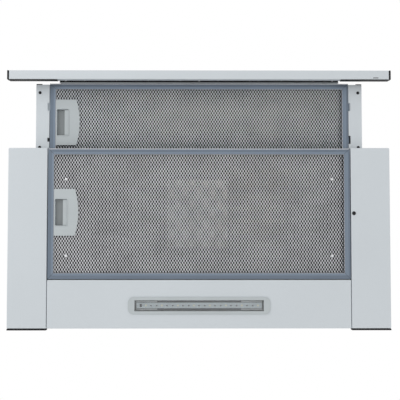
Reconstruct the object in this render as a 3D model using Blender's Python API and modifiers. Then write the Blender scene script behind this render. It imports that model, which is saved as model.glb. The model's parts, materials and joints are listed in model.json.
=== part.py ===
"""Telescopic under-cabinet range hood with its pull-out visor extended.

The hood frame has X to the right, Y towards the wall and Z up, with Y = 0 at the front edge of
the fascia and Z = 0 at its underside. The world's origin is on the top of the casing, behind the
outlet, where the hood meets the cabinet. Lengths are in metres.
"""

import math

import bmesh
import bpy
from mathutils import Matrix, Vector

MM = 0.001

# Driving dimensions: sheet metal and fits
SHEET = 0.8 * MM
BEND = 1.4 * MM            # outer radius of a folded edge
GAP = 0.4 * MM             # clearance between pieces that are fastened together
RUN = 0.8 * MM             # clearance between pieces that slide past each other
CUT = 5 * MM               # reach of a cutter past the face that it opens
SKIN = 0.05 * MM           # step that keeps joined faces from lying in one plane

# Casing and fascia
CASING_WIDTH = 524 * MM
FASCIA_DEPTH = 280 * MM
FASCIA_OVERHANG = 35 * MM  # fascia beyond the casing on each side
TRIM_INSET = 26 * MM       # trim inside the casing's side
TRIM_HEIGHT = 10 * MM
TRIM_LIP = 4 * MM          # low inner edge that the filter hooks rest on
TRIM_CAP = 2.3 * MM
REAR_PANEL_DEPTH = 75 * MM
SEAM = 1 * MM              # visible joint between filter, trims and rear panel
CASING_FLANGE = 22 * MM
TOP_FLANGE = 15 * MM
TRIM_SCREW_RADIUS = 3 * MM
TRIM_SCREW_Y = 102 * MM
TRIM_SCREW_INSET = 4.6 * MM
TRIM_SCREW_LENGTH = 6 * MM
TRIM_SCREW_HEAD = 2 * MM
WALL_FLANGE = 12 * MM      # flanges of the front and back walls
FRONT_WALL_RISE = 3 * MM   # front wall above the visor cover
GLAND_INSET = (40 * MM, 25 * MM)       # from the casing's side and from its top

# Grease filters
FILTER_THICKNESS = 9 * MM
FILTER_BORDER = 9 * MM
FILTER_LEVEL = 1 * MM      # underside of the fixed filter
MESH_LEVEL = 2.2 * MM      # mesh above the frame's underside
MESH_THICKNESS = 0.8 * MM
PACK_THICKNESS = 3.4 * MM
GROOVE_DEPTH = 4 * MM
HOOK_WIDTH = 12 * MM
HOOK_LENGTH = 2.6 * MM
HOOK_THICKNESS = 1 * MM
HOOK_LEVEL = 4.4 * MM
HOOK_ROOT = 2 * MM         # part of a hook inside the frame
HOOK_SPREAD = 50 * MM      # hooks of the fixed filter either side of its middle

# Filter latches
HANDLE_WIDTH = 37.8 * MM
HANDLE_LENGTH = 73 * MM
HANDLE_BULGE = 5.5 * MM
HANDLE_PLATE = 1.6 * MM
WINDOW_WIDTH = 18.5 * MM
WINDOW_LENGTH = 41 * MM
WINDOW_BORDER = 1.9 * MM
LATCH_TRAVEL = 5 * MM
LATCH_SHIFT = 2 * MM       # latch ahead of the filter's middle
LATCH_BLOCK = 7.2 * MM
TONGUE_WIDTH = 12 * MM
TONGUE_THICKNESS = 1.2 * MM
TUB_WALL = 1.2 * MM
TONGUE_ROOT = 2 * MM
VISOR_TONGUE_REACH = 2.6 * MM          # tongue past the visor's inner wall

# Pull-out visor
VISOR_TRAVEL = 105 * MM
VISOR_LEVEL = 20 * MM
VISOR_HEIGHT = 26 * MM
VISOR_FLANGE = 21.5 * MM
VISOR_SIDE_CLEARANCE = 2.7 * MM
VISOR_OVERLAP = 23 * MM    # visor filter behind the fascia's front edge
VISOR_REAR_ROOM = 25 * MM  # free space behind the visor when it is pushed in
VISOR_RETURN = 12 * MM     # top flanges that carry the cover
HOOK_SLOT_DEPTH = 3.4 * MM # slot in the side flange, from the inner wall
LATCH_SLOT = (4 * MM, 8 * MM)          # bottom and top of the tongue's slot in the wall
FLANGE_SETBACK = 2 * MM    # side flanges behind the front end of the travel
HOOK_SETBACK = 37 * MM     # front hooks from the front of the visor filter
REAR_HOOK_SETBACK = 38 * MM
NECK_WIDTH = 443 * MM      # narrow front of the visor, behind the strip
NECK_SETBACK = 5 * MM      # neck ahead of the strip's rear edge
NECK_LIP = 6.5 * MM        # ledge under the visor filter's front edge
STRIKER_WIDTH = 5.8 * MM
STRIKER_LENGTH = 8 * MM
STRIKER_HEIGHT = 2.2 * MM

# Front strip
STRIP_OVERLAP = 2.5 * MM   # strip wider than the fascia on each side
STRIP_DEPTH = 14.6 * MM
STRIP_DROP = 4 * MM        # strip below the fascia
STRIP_HEIGHT = 40 * MM
STRIP_RETURN = 10 * MM
STRIP_CAP = 2.8 * MM
CAP_FACE = 3.6 * MM        # front wall of an end cap
STRIP_FOLD = 14 * MM       # return of the strip down the neck
CLIP_SLOT = (8 * MM, 1.4 * MM)
CLIP_SLOT_INSET = 2 * MM
CLIP_SLOT_X = 14 * MM      # from the middle button
BUFFER_LENGTH = 75 * MM
BUFFER_THICKNESS = 0.8 * MM
BUTTON_WIDTH = 11 * MM
BUTTON_HEIGHT = 9 * MM
BUTTON_PITCH = 16.5 * MM
BUTTON_TRAVEL = 2 * MM
BUTTON_LEVEL = 14 * MM
BUTTON_INSET = 35 * MM     # middle button from the end of the fascia
SWITCH_BLOCK_HEIGHT = 15 * MM
SWITCH_POCKET = 5.6 * MM

# Runners
RAIL_HEIGHT = 20 * MM
RAIL_DEPTH = 8.6 * MM
RAIL_SHEET = 1.2 * MM
RAIL_LIP = 5 * MM
RAIL_LEVEL = 24 * MM
WEB_THICKNESS = 3 * MM
RAIL_ENDS = (2 * MM, 3 * MM)           # rail from the front and back walls
RUNNER_START = -60 * MM

# Blower
IMPELLER_RADIUS = 30 * MM
IMPELLER_LENGTH = 40 * MM
BLADE_COUNT = 16
BLADE_DEPTH = 5 * MM
BLADE_THICKNESS = 1 * MM
IMPELLER_PLATE = 1.5 * MM
IMPELLER_RING = 2 * MM
IMPELLER_SETBACK = 5 * MM  # impeller from the volute's inner face
HUB = (9 * MM, 16 * MM)    # radius and length
SCROLL_WIDEST = 17 * MM
SCROLL_NARROWEST = 4 * MM
VOLUTE_WIDTH = 50 * MM
VOLUTE_WALL = 2 * MM
BLOWER_Y = 132 * MM
BLOWER_CLEARANCE = 5 * MM
MOTOR_RADIUS = 27 * MM
MOTOR_LENGTH = 46 * MM
SHAFT_RADIUS = 3 * MM
INTAKE_RADIUS = 24 * MM
MOTOR_STANDOFF = 7 * MM
MOTOR_PLATE = 2 * MM
MOTOR_ROUND = 3 * MM
MOTOR_END = 3 * MM         # end wall of the motor
SHAFT_FREE = 6 * MM        # shaft short of the motor's far end
PLATE_MARGIN = 3 * MM      # motor plate outside the impeller
PLATE_HOLE = (20 * MM, 7.5 * MM)       # distance from the axis and radius
LEG_WIDTH = 4 * MM
TONGUE_DROP = 5 * MM       # volute tongue below the axis

# Outlet
OUTLET_RADIUS = 60 * MM
OUTLET_WALL = 2 * MM
OUTLET_HEIGHT = 40 * MM    # collar above the casing
COLLAR_FLANGE = 14 * MM
DAMPER_THICKNESS = 1.5 * MM
DAMPER_HEIGHT = 15 * MM    # damper axis above the casing
DAMPER_PIN = 1.5 * MM
KNUCKLE_RADIUS = 3.5 * MM
KNUCKLE_LENGTH = 18 * MM
DAMPER_SPACE = 1.5 * MM    # damper inside the collar
TAB_START = 1.9 * MM

# Lamp
LAMP_WINDOW = (199.5 * MM, 16.7 * MM)
LAMP_BORDER = (10.2 * MM, 5 * MM)
LAMP_COLLAR = 3 * MM
LAMP_SETBACK = 244.8 * MM - 280 * MM   # centre of the lamp from the rear edge of the fascia
LAMP_DEPTH = 8 * MM
LAMP_RIM = 1 * MM
LAMP_RADIUS = 8 * MM
LAMP_TRAY = 5 * MM
WINDOW_FACES = (-0.7 * MM, 0.6 * MM)   # window's faces from the bezel's seat
LED_COUNT = 8
LED_PITCH = 24.8 * MM
LED_SHIFT = 4.2 * MM       # row of chips to the right of the window's middle
CHIP = (3.6 * MM, 2.8 * MM)
CHIP_FACES = (-0.7 * MM, 0.3 * MM)     # chip's faces from the board's underside
BOARD_WIDTH = 8.7 * MM
BOARD_THICKNESS = 1.6 * MM
BOARD_DROP = 2.5 * MM      # board's underside below the sleeve's top
BOARD_SPACE = 2 * MM       # board short of the window's ends

# Electrical parts
GLAND_RADIUS = 8 * MM
GLAND_BORE = 4 * MM
GLAND_FLANGE = (3 * MM, 2 * MM)        # wider than the body by, and thickness
GLAND_NOSE = 4 * MM
TERMINAL_INSET = (15 * MM, 8 * MM, 6 * MM)
TERMINAL_WALL = 1.5 * MM
TERMINAL_ENTRY = 5 * MM
DRIVER_INSET = (12 * MM, 20 * MM, 6 * MM)
TERMINAL_SIZE = (60 * MM, 47 * MM, 30 * MM)
DRIVER_SIZE = (80 * MM, 45 * MM, 28 * MM)
SWITCH_Y = 225 * MM - 280 * MM         # front of the micro switch from the rear edge
SWITCH_SIZE = (15 * MM, 20 * MM, 14 * MM)
SWITCH_RISE = 4.6 * MM     # switch above the visor cover
ARM = (1.5 * MM, 5.5 * MM) # sides of the lever's arm from the switch's side
PIVOT_SETBACK = 3 * MM
PIVOT_RISE = 0.8 * MM
LEVER_DROP = 3.2 * MM
LEVER_THICKNESS = 0.8 * MM
LEVER_SPAN = (1.5 * MM, 26 * MM)
EAR_SPAN = (2 * MM, 4 * MM)
EAR_RISE = 1.6 * MM
EAR_SLOT = (6 * MM, 2.6 * MM)
STRIKER_AT = 14 * MM       # striker behind the switch's front

# Place of the mount face's reference point
MOUNT_Y = 220 * MM

# Derived places in the hood frame
casing_x = CASING_WIDTH / 2
casing_inner = casing_x - SHEET
fascia_x = casing_x + FASCIA_OVERHANG
opening_x = casing_x - TRIM_INSET
casing_front_y = SHEET + GAP
casing_back_y = FASCIA_DEPTH - SHEET - GAP
rear_panel_y = FASCIA_DEPTH - REAR_PANEL_DEPTH
visor_outer = casing_inner - VISOR_SIDE_CLEARANCE
visor_inner = visor_outer - VISOR_FLANGE
visor_top = VISOR_LEVEL + VISOR_HEIGHT
cover_top = visor_top + GAP + SHEET
strip_x = fascia_x + STRIP_OVERLAP
strip_back = -VISOR_TRAVEL - GAP - BUFFER_THICKNESS - GAP
strip_front = strip_back - STRIP_DEPTH
visor_front_y = strip_back - NECK_SETBACK
visor_filter_y = visor_front_y + NECK_LIP + GAP
visor_flange_y = FLANGE_SETBACK - VISOR_TRAVEL
visor_rear = FASCIA_DEPTH - VISOR_REAR_ROOM - VISOR_TRAVEL
scroll_bottom = IMPELLER_RADIUS + SCROLL_WIDEST - (SCROLL_WIDEST - SCROLL_NARROWEST) / 3
blower_z = cover_top + BLOWER_CLEARANCE + scroll_bottom
volute_top = blower_z + IMPELLER_RADIUS + SCROLL_NARROWEST + 2.3 * MM
collar_flange_z = volute_top + GAP
casing_top = collar_flange_z + OUTLET_WALL + GAP + SHEET
outlet_y = BLOWER_Y - (IMPELLER_RADIUS + SCROLL_WIDEST + TONGUE_DROP) / 2
lamp_y = FASCIA_DEPTH + LAMP_SETBACK
button_x = fascia_x - BUTTON_INSET
SIDES = (("left", -1), ("right", 1))


def clear_scene():
    for obj in list(bpy.data.objects):
        bpy.data.objects.remove(obj, do_unlink=True)


def new_collection(name):
    collection = bpy.data.collections.new(name)
    bpy.context.scene.collection.children.link(collection)
    return collection


clear_scene()
PARTS = new_collection("range_hood")
CUTTERS = new_collection("cutters")


def anchor(name, place, parent=None):
    """An empty that carries a group of pieces; place is in the hood frame."""
    empty = bpy.data.objects.new(name, None)
    PARTS.objects.link(empty)
    empty.parent = parent
    empty["place"] = tuple(place)
    empty.location = Vector(place) - (Vector(parent["place"]) if parent else Vector((0, 0, 0)))
    return empty


ROW = anchor("row_frame", (0, 0, 0))
ROW.location = (0, -MOUNT_Y, -casing_top)
VISOR = anchor("visor_slide", (0, visor_front_y, VISOR_LEVEL), ROW)
HINGE = anchor("filter_hinge", (opening_x - SEAM, rear_panel_y / 2, FILTER_LEVEL), ROW)


def paint(name, colour, roughness, metallic=0.0):
    material = bpy.data.materials.new(name)
    material.use_nodes = True
    shader = material.node_tree.nodes["Principled BSDF"]
    shader.inputs["Base Color"].default_value = (*colour, 1.0)
    shader.inputs["Roughness"].default_value = roughness
    shader.inputs["Metallic"].default_value = metallic
    material.diffuse_color = (*colour, 1.0)
    return material


SILVER = paint("silver_paint", (0.62, 0.66, 0.69), 0.38, 0.4)
GALVANISED = paint("galvanised_steel", (0.55, 0.57, 0.59), 0.45, 0.9)
FRAME = paint("anodised_frame", (0.18, 0.21, 0.25), 0.4, 0.8)
MESH = paint("filter_mesh_metal", (0.55, 0.56, 0.58), 0.4, 1.0)
LIGHT_PLASTIC = paint("light_grey_plastic", (0.6, 0.63, 0.65), 0.5)
BLACK_PLASTIC = paint("black_plastic", (0.02, 0.02, 0.02), 0.5)
DARK_PLASTIC = paint("dark_grey_plastic", (0.12, 0.12, 0.13), 0.55)
CLEAR = paint("clear_plastic", (0.9, 0.92, 0.93), 0.1)
BOARD = paint("white_board", (0.85, 0.86, 0.84), 0.5)
STEEL = paint("bright_steel", (0.7, 0.7, 0.72), 0.3, 1.0)


def file_object(name, data, place, group, finish):
    """Link an object whose mesh is drawn about its own origin, set at place in the hood frame."""
    obj = bpy.data.objects.new(name, data)
    PARTS.objects.link(obj)
    data.materials.append(finish)
    obj.parent = group
    obj.location = Vector(place) - Vector(group["place"])
    return obj


def as_cutter(obj):
    """Turn a piece into a hidden helper for Boolean modifiers."""
    PARTS.objects.unlink(obj)
    CUTTERS.objects.link(obj)
    obj.hide_render = True
    obj.display_type = "WIRE"
    return obj


def boolean(obj, other, operation):
    modifier = obj.modifiers.new(operation.lower(), "BOOLEAN")
    modifier.operation = operation
    modifier.solver = "EXACT"
    modifier.object = as_cutter(other)


def cut(obj, *others):
    for other in others:
        boolean(obj, other, "DIFFERENCE")
    return obj


def join(obj, *others):
    for other in others:
        boolean(obj, other, "UNION")
    return obj


def ordered(low, high):
    return (
        Vector([min(a, b) for a, b in zip(low, high)]),
        Vector([max(a, b) for a, b in zip(low, high)]),
    )


def box(name, low, high, finish=DARK_PLASTIC, group=ROW, pivot=None, bevel=0.0):
    """A block between two corners, with its origin at its centre or at pivot."""
    low, high = ordered(low, high)
    centre = (low + high) / 2
    place = Vector(pivot) if pivot else centre
    mesh = bpy.data.meshes.new(name)
    shape = bmesh.new()
    frame = Matrix.Translation(centre - place) @ Matrix.Diagonal((*(high - low), 1.0))
    bmesh.ops.create_cube(shape, size=1.0, matrix=frame)
    shape.to_mesh(mesh)
    shape.free()
    obj = file_object(name, mesh, place, group, finish)
    if bevel:
        add_bevel(obj, bevel)
    return obj


def add_bevel(obj, width, segments=2):
    modifier = obj.modifiers.new("rounded", "BEVEL")
    modifier.width = width
    modifier.segments = segments
    modifier.limit_method = "ANGLE"


def add_solidify(obj, thickness):
    modifier = obj.modifiers.new("sheet", "SOLIDIFY")
    modifier.thickness = thickness
    modifier.offset = -1
    modifier.use_even_offset = True


def boxes(name, corners, finish=DARK_PLASTIC, group=ROW):
    """Several separate blocks in one mesh, to be joined to another piece."""
    mesh = bpy.data.meshes.new(name)
    shape = bmesh.new()
    for low, high in corners:
        low, high = ordered(low, high)
        frame = Matrix.Translation((low + high) / 2 - Vector(group["place"]))
        bmesh.ops.create_cube(shape, size=1.0, matrix=frame @ Matrix.Diagonal((*(high - low), 1.0)))
    shape.to_mesh(mesh)
    shape.free()
    return file_object(name, mesh, group["place"], group, finish)


def tray(name, low, high, open_side, finish, group=ROW, wall=SHEET, bend=0.0):
    """A box open on one side, with its walls inside the given corners."""
    obj = box(name, low, high, finish, group)
    shape = bmesh.new()
    shape.from_mesh(obj.data)
    side = Vector(open_side)
    bmesh.ops.delete(shape, geom=[f for f in shape.faces if f.normal.dot(side) > 0.9],
                     context="FACES")
    shape.to_mesh(obj.data)
    shape.free()
    if bend:
        add_bevel(obj, bend)
    add_solidify(obj, wall)
    return obj


def to_space(point, axis, along):
    """A profile point and a distance along the sweep axis as a point in space."""
    u, v = point
    return Vector({"X": (along, u, v), "Y": (u, along, v), "Z": (u, v, along)}[axis])


def folded_sheet(name, profile, span, axis, finish, group=ROW, wall=SHEET, bend=BEND):
    """A strip bent along a profile, whose thickness lies to the right of the profile's run."""
    start = to_space(profile[0], axis, span[0])
    mesh = bpy.data.meshes.new(name)
    shape = bmesh.new()
    line = [shape.verts.new(to_space(point, axis, span[0]) - start) for point in profile]
    edges = [shape.edges.new(pair) for pair in zip(line, line[1:])]
    swept = bmesh.ops.extrude_edge_only(shape, edges=edges)["geom"]
    new_verts = [item for item in swept if isinstance(item, bmesh.types.BMVert)]
    bmesh.ops.translate(shape, verts=new_verts, vec=to_space((0, 0), axis, span[1] - span[0]))
    shape.normal_update()
    (u0, v0), (u1, v1) = profile[:2]
    left = to_space((v0 - v1, u1 - u0), axis, 0)
    first = min(shape.faces, key=lambda face: (face.calc_center_median() - (
        to_space(((u0 + u1) / 2, (v0 + v1) / 2), axis, (span[0] + span[1]) / 2) - start)).length)
    if first.normal.dot(left) < 0:
        bmesh.ops.reverse_faces(shape, faces=shape.faces)
    shape.to_mesh(mesh)
    shape.free()
    obj = file_object(name, mesh, start, group, finish)
    if bend:
        add_bevel(obj, bend)
    add_solidify(obj, wall)
    return obj


def mirrored(profile):
    """The left-hand copy of a right-hand profile, run the other way to keep its inside."""
    return [(-u, v) for u, v in reversed(profile)]


def turned(name, profile, place, axis, finish, group=ROW, steps=48):
    """A profile of (radius, height) points, down its outer side, spun about an axis."""
    mesh = bpy.data.meshes.new(name)
    shape = bmesh.new()
    line = [shape.verts.new((radius, 0, height)) for radius, height in profile]
    for pair in zip(line, line[1:]):
        shape.edges.new(pair)
    if profile[0][0] > 0:
        shape.edges.new((line[-1], line[0]))
    shape.to_mesh(mesh)
    shape.free()
    obj = file_object(name, mesh, place, group, finish)
    obj.rotation_mode = "QUATERNION"
    obj.rotation_quaternion = Vector((0, 0, 1)).rotation_difference(Vector(axis))
    modifier = obj.modifiers.new("turned", "SCREW")
    modifier.axis = "Z"
    modifier.steps = steps
    modifier.render_steps = steps
    modifier.use_merge_vertices = True
    modifier.merge_threshold = 0.00001
    modifier.use_smooth_shade = True
    return obj


def disc(name, radius, bottom, top, place, axis, finish=STEEL, group=ROW, steps=32):
    profile = [(0, top), (radius, top), (radius, bottom), (0, bottom)]
    return turned(name, profile, place, axis, finish, group, steps)


def arc(centre, radius, start, end, count):
    """Points on an arc between two angles in degrees."""
    angles = [math.radians(start + (end - start) * i / count) for i in range(count + 1)]
    return [(centre[0] + radius * math.cos(a), centre[1] + radius * math.sin(a)) for a in angles]


def rounded_rectangle(width, height, radius, count=4):
    points = []
    for quarter, (sx, sy) in enumerate(((1, 1), (-1, 1), (-1, -1), (1, -1))):
        centre = (sx * (width / 2 - radius), sy * (height / 2 - radius))
        points += arc(centre, radius, 90 * quarter, 90 * quarter + 90, count)
    return points


def outline_plate(name, outlines, thickness, place, axis, finish, group=ROW):
    """A flat outline, with holes, centred on place and thick along an axis."""
    curve = bpy.data.curves.new(name, "CURVE")
    curve.dimensions = "2D"
    curve.fill_mode = "BOTH"
    curve.extrude = thickness / 2
    for outline in outlines:
        spline = curve.splines.new("POLY")
        spline.points.add(len(outline) - 1)
        for point, (u, v) in zip(spline.points, outline):
            point.co = (u, v, 0, 1)
        spline.use_cyclic_u = True
    guide = bpy.data.objects.new(name + "_outline", curve)
    PARTS.objects.link(guide)
    bpy.context.view_layer.update()
    evaluated = guide.evaluated_get(bpy.context.evaluated_depsgraph_get())
    mesh = bpy.data.meshes.new_from_object(evaluated)
    bpy.data.objects.remove(guide, do_unlink=True)
    shape = bmesh.new()
    shape.from_mesh(mesh)
    bmesh.ops.remove_doubles(shape, verts=shape.verts, dist=0.00001)
    turn = {"X": Matrix(((0, 0, 1), (1, 0, 0), (0, 1, 0))),
            "Y": Matrix(((1, 0, 0), (0, 0, -1), (0, 1, 0))),
            "Z": Matrix.Identity(3)}[axis]
    bmesh.ops.transform(shape, matrix=turn.to_4x4(), verts=shape.verts)
    shape.to_mesh(mesh)
    shape.free()
    return file_object(name, mesh, place, group, finish)


# Casing


def make_casing():
    for side, sign in SIDES:
        profile = [
            (casing_x - CASING_FLANGE, SHEET + GAP),
            (casing_x, SHEET + GAP),
            (casing_x, casing_top - SHEET - GAP),
            (casing_x - TOP_FLANGE, casing_top - SHEET - GAP),
        ]
        profile = profile[::-1] if sign > 0 else [(-u, v) for u, v in profile]
        folded_sheet(f"casing_{side}", profile, (casing_front_y, casing_back_y), "Y", GALVANISED)
    wall_top = casing_top - 2 * SHEET - 2 * GAP
    reach = casing_inner - GAP
    low = cover_top + FRONT_WALL_RISE
    flange = casing_front_y + WALL_FLANGE
    front = [(flange, low), (casing_front_y, low), (casing_front_y, wall_top), (flange, wall_top)]
    folded_sheet("casing_front", front, (-reach, reach), "X", GALVANISED)
    back = [(casing_back_y - WALL_FLANGE, wall_top), (casing_back_y, wall_top),
            (casing_back_y, TRIM_HEIGHT + GAP)]
    rear = folded_sheet("casing_back", back, (-reach, reach), "X", GALVANISED)
    cut(rear, disc("gland_hole", GLAND_RADIUS + GAP, -CUT, CUT, gland_place(), (0, 1, 0)))
    top = box("casing_top", (-casing_x, casing_front_y, casing_top - SHEET),
              (casing_x, casing_back_y, casing_top), GALVANISED)
    cut(top, disc("outlet_hole", OUTLET_RADIUS + GAP, -CUT, CUT,
                  (0, outlet_y, casing_top), (0, 0, 1), steps=64))


def gland_place():
    return (-casing_inner + GLAND_INSET[0], casing_back_y, casing_top - GLAND_INSET[1])


# Fascia


def make_trim(side, sign):
    inner, outer = sign * opening_x, sign * fascia_x
    name = f"side_trim_{side}"
    trim = tray(name, (inner, 0, 0), (outer, FASCIA_DEPTH, TRIM_HEIGHT), (0, 0, 1), SILVER,
                bend=BEND)
    cut(trim, box(name + "_lip", (inner - sign * SHEET, BEND + SHEET, TRIM_LIP),
                  (inner + sign * 2 * SHEET, FASCIA_DEPTH - BEND - SHEET, 2 * TRIM_HEIGHT)))
    box(f"trim_cap_{side}", (inner, FASCIA_DEPTH + GAP, 0),
        (outer, FASCIA_DEPTH + GAP + TRIM_CAP, TRIM_HEIGHT), BLACK_PLASTIC, bevel=GAP)
    return trim


def make_fascia():
    make_trim("left", -1)
    trim = make_trim("right", 1)
    screw_place = (opening_x + TRIM_SCREW_INSET, TRIM_SCREW_Y, 0)
    shank = TRIM_SCREW_RADIUS / 2
    cut(trim, disc("trim_screw_hole", shank + GAP, -CUT, CUT, screw_place, (0, 0, 1)))
    profile = [(0, TRIM_SCREW_LENGTH), (shank, TRIM_SCREW_LENGTH), (shank, -GAP),
               (TRIM_SCREW_RADIUS, -GAP), (TRIM_SCREW_RADIUS * 0.7, -TRIM_SCREW_HEAD * 0.8),
               (0, -TRIM_SCREW_HEAD)]
    turned("trim_screw", profile, screw_place, (0, 0, 1), BLACK_PLASTIC, steps=24)
    flange_cut = disc("trim_screw_clearance", shank + GAP, -TRIM_HEIGHT, TRIM_HEIGHT, screw_place,
                      (0, 0, 1))
    cut(bpy.data.objects["casing_right"], flange_cut)
    half = opening_x - SEAM / 2
    panel = tray("rear_panel", (-half, rear_panel_y, 0), (half, FASCIA_DEPTH, TRIM_HEIGHT),
                 (0, 0, 1), SILVER, bend=BEND)
    collar = lamp_collar()
    cut(panel, box("lamp_cut_out", (-collar[0] - GAP, lamp_y - collar[1] - GAP, -CUT),
                   (collar[0] + GAP, lamp_y + collar[1] + GAP, CUT)))


# Lamp


def lamp_collar():
    return (LAMP_WINDOW[0] / 2 + LAMP_COLLAR, LAMP_WINDOW[1] / 2 + LAMP_COLLAR)


def make_lamp():
    collar = lamp_collar()
    width = LAMP_WINDOW[0] + 2 * LAMP_BORDER[0]
    height = LAMP_WINDOW[1] + 2 * LAMP_BORDER[1]
    seat = -GAP - LAMP_RIM / 2
    bezel = outline_plate("lamp_bezel", [rounded_rectangle(width, height, LAMP_RADIUS)], LAMP_RIM,
                          (0, lamp_y, seat), "Z", LIGHT_PLASTIC)
    sleeve = box("lamp_sleeve", (-collar[0], lamp_y - collar[1], seat),
                 (collar[0], lamp_y + collar[1], LAMP_DEPTH))
    opening = box("lamp_opening", (-LAMP_WINDOW[0] / 2, lamp_y - LAMP_WINDOW[1] / 2, -CUT),
                  (LAMP_WINDOW[0] / 2, lamp_y + LAMP_WINDOW[1] / 2, LAMP_DEPTH + CUT))
    join(bezel, sleeve)
    cut(bezel, opening)
    half = (LAMP_WINDOW[0] / 2 - GAP, LAMP_WINDOW[1] / 2 - GAP)
    box("lamp_window", (-half[0], lamp_y - half[1], WINDOW_FACES[0] - GAP),
        (half[0], lamp_y + half[1], WINDOW_FACES[1]), CLEAR)
    board_z = LAMP_DEPTH - BOARD_DROP
    reach = half[0] - BOARD_SPACE
    board = box("lamp_board", (-reach, lamp_y - BOARD_WIDTH / 2, board_z),
                (reach, lamp_y + BOARD_WIDTH / 2, board_z + BOARD_THICKNESS), BOARD)
    first = LED_SHIFT - LED_PITCH * (LED_COUNT - 1) / 2
    chips = []
    for i in range(LED_COUNT):
        x = first + i * LED_PITCH
        chips.append(((x - CHIP[0] / 2, lamp_y - CHIP[1] / 2, board_z + CHIP_FACES[0]),
                      (x + CHIP[0] / 2, lamp_y + CHIP[1] / 2, board_z + CHIP_FACES[1])))
    join(board, boxes("led_chips", chips))
    tray("lamp_housing", (-collar[0], lamp_y - collar[1], LAMP_DEPTH + GAP),
         (collar[0], lamp_y + collar[1], LAMP_DEPTH + LAMP_TRAY), (0, 0, -1), GALVANISED)


# Grease filters


def handle_outline(left, centre_y):
    """A plate with three straight sides and a bowed one towards the filter's middle."""
    half = HANDLE_LENGTH / 2
    radius = (half * half + HANDLE_BULGE * HANDLE_BULGE) / (2 * HANDLE_BULGE)
    spread = math.degrees(math.asin(half / radius))
    middle = left + HANDLE_WIDTH - radius
    bow = arc((middle, centre_y), radius, -spread, spread, 12)
    return [(left, centre_y - half), *bow, (left, centre_y + half)]


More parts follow.
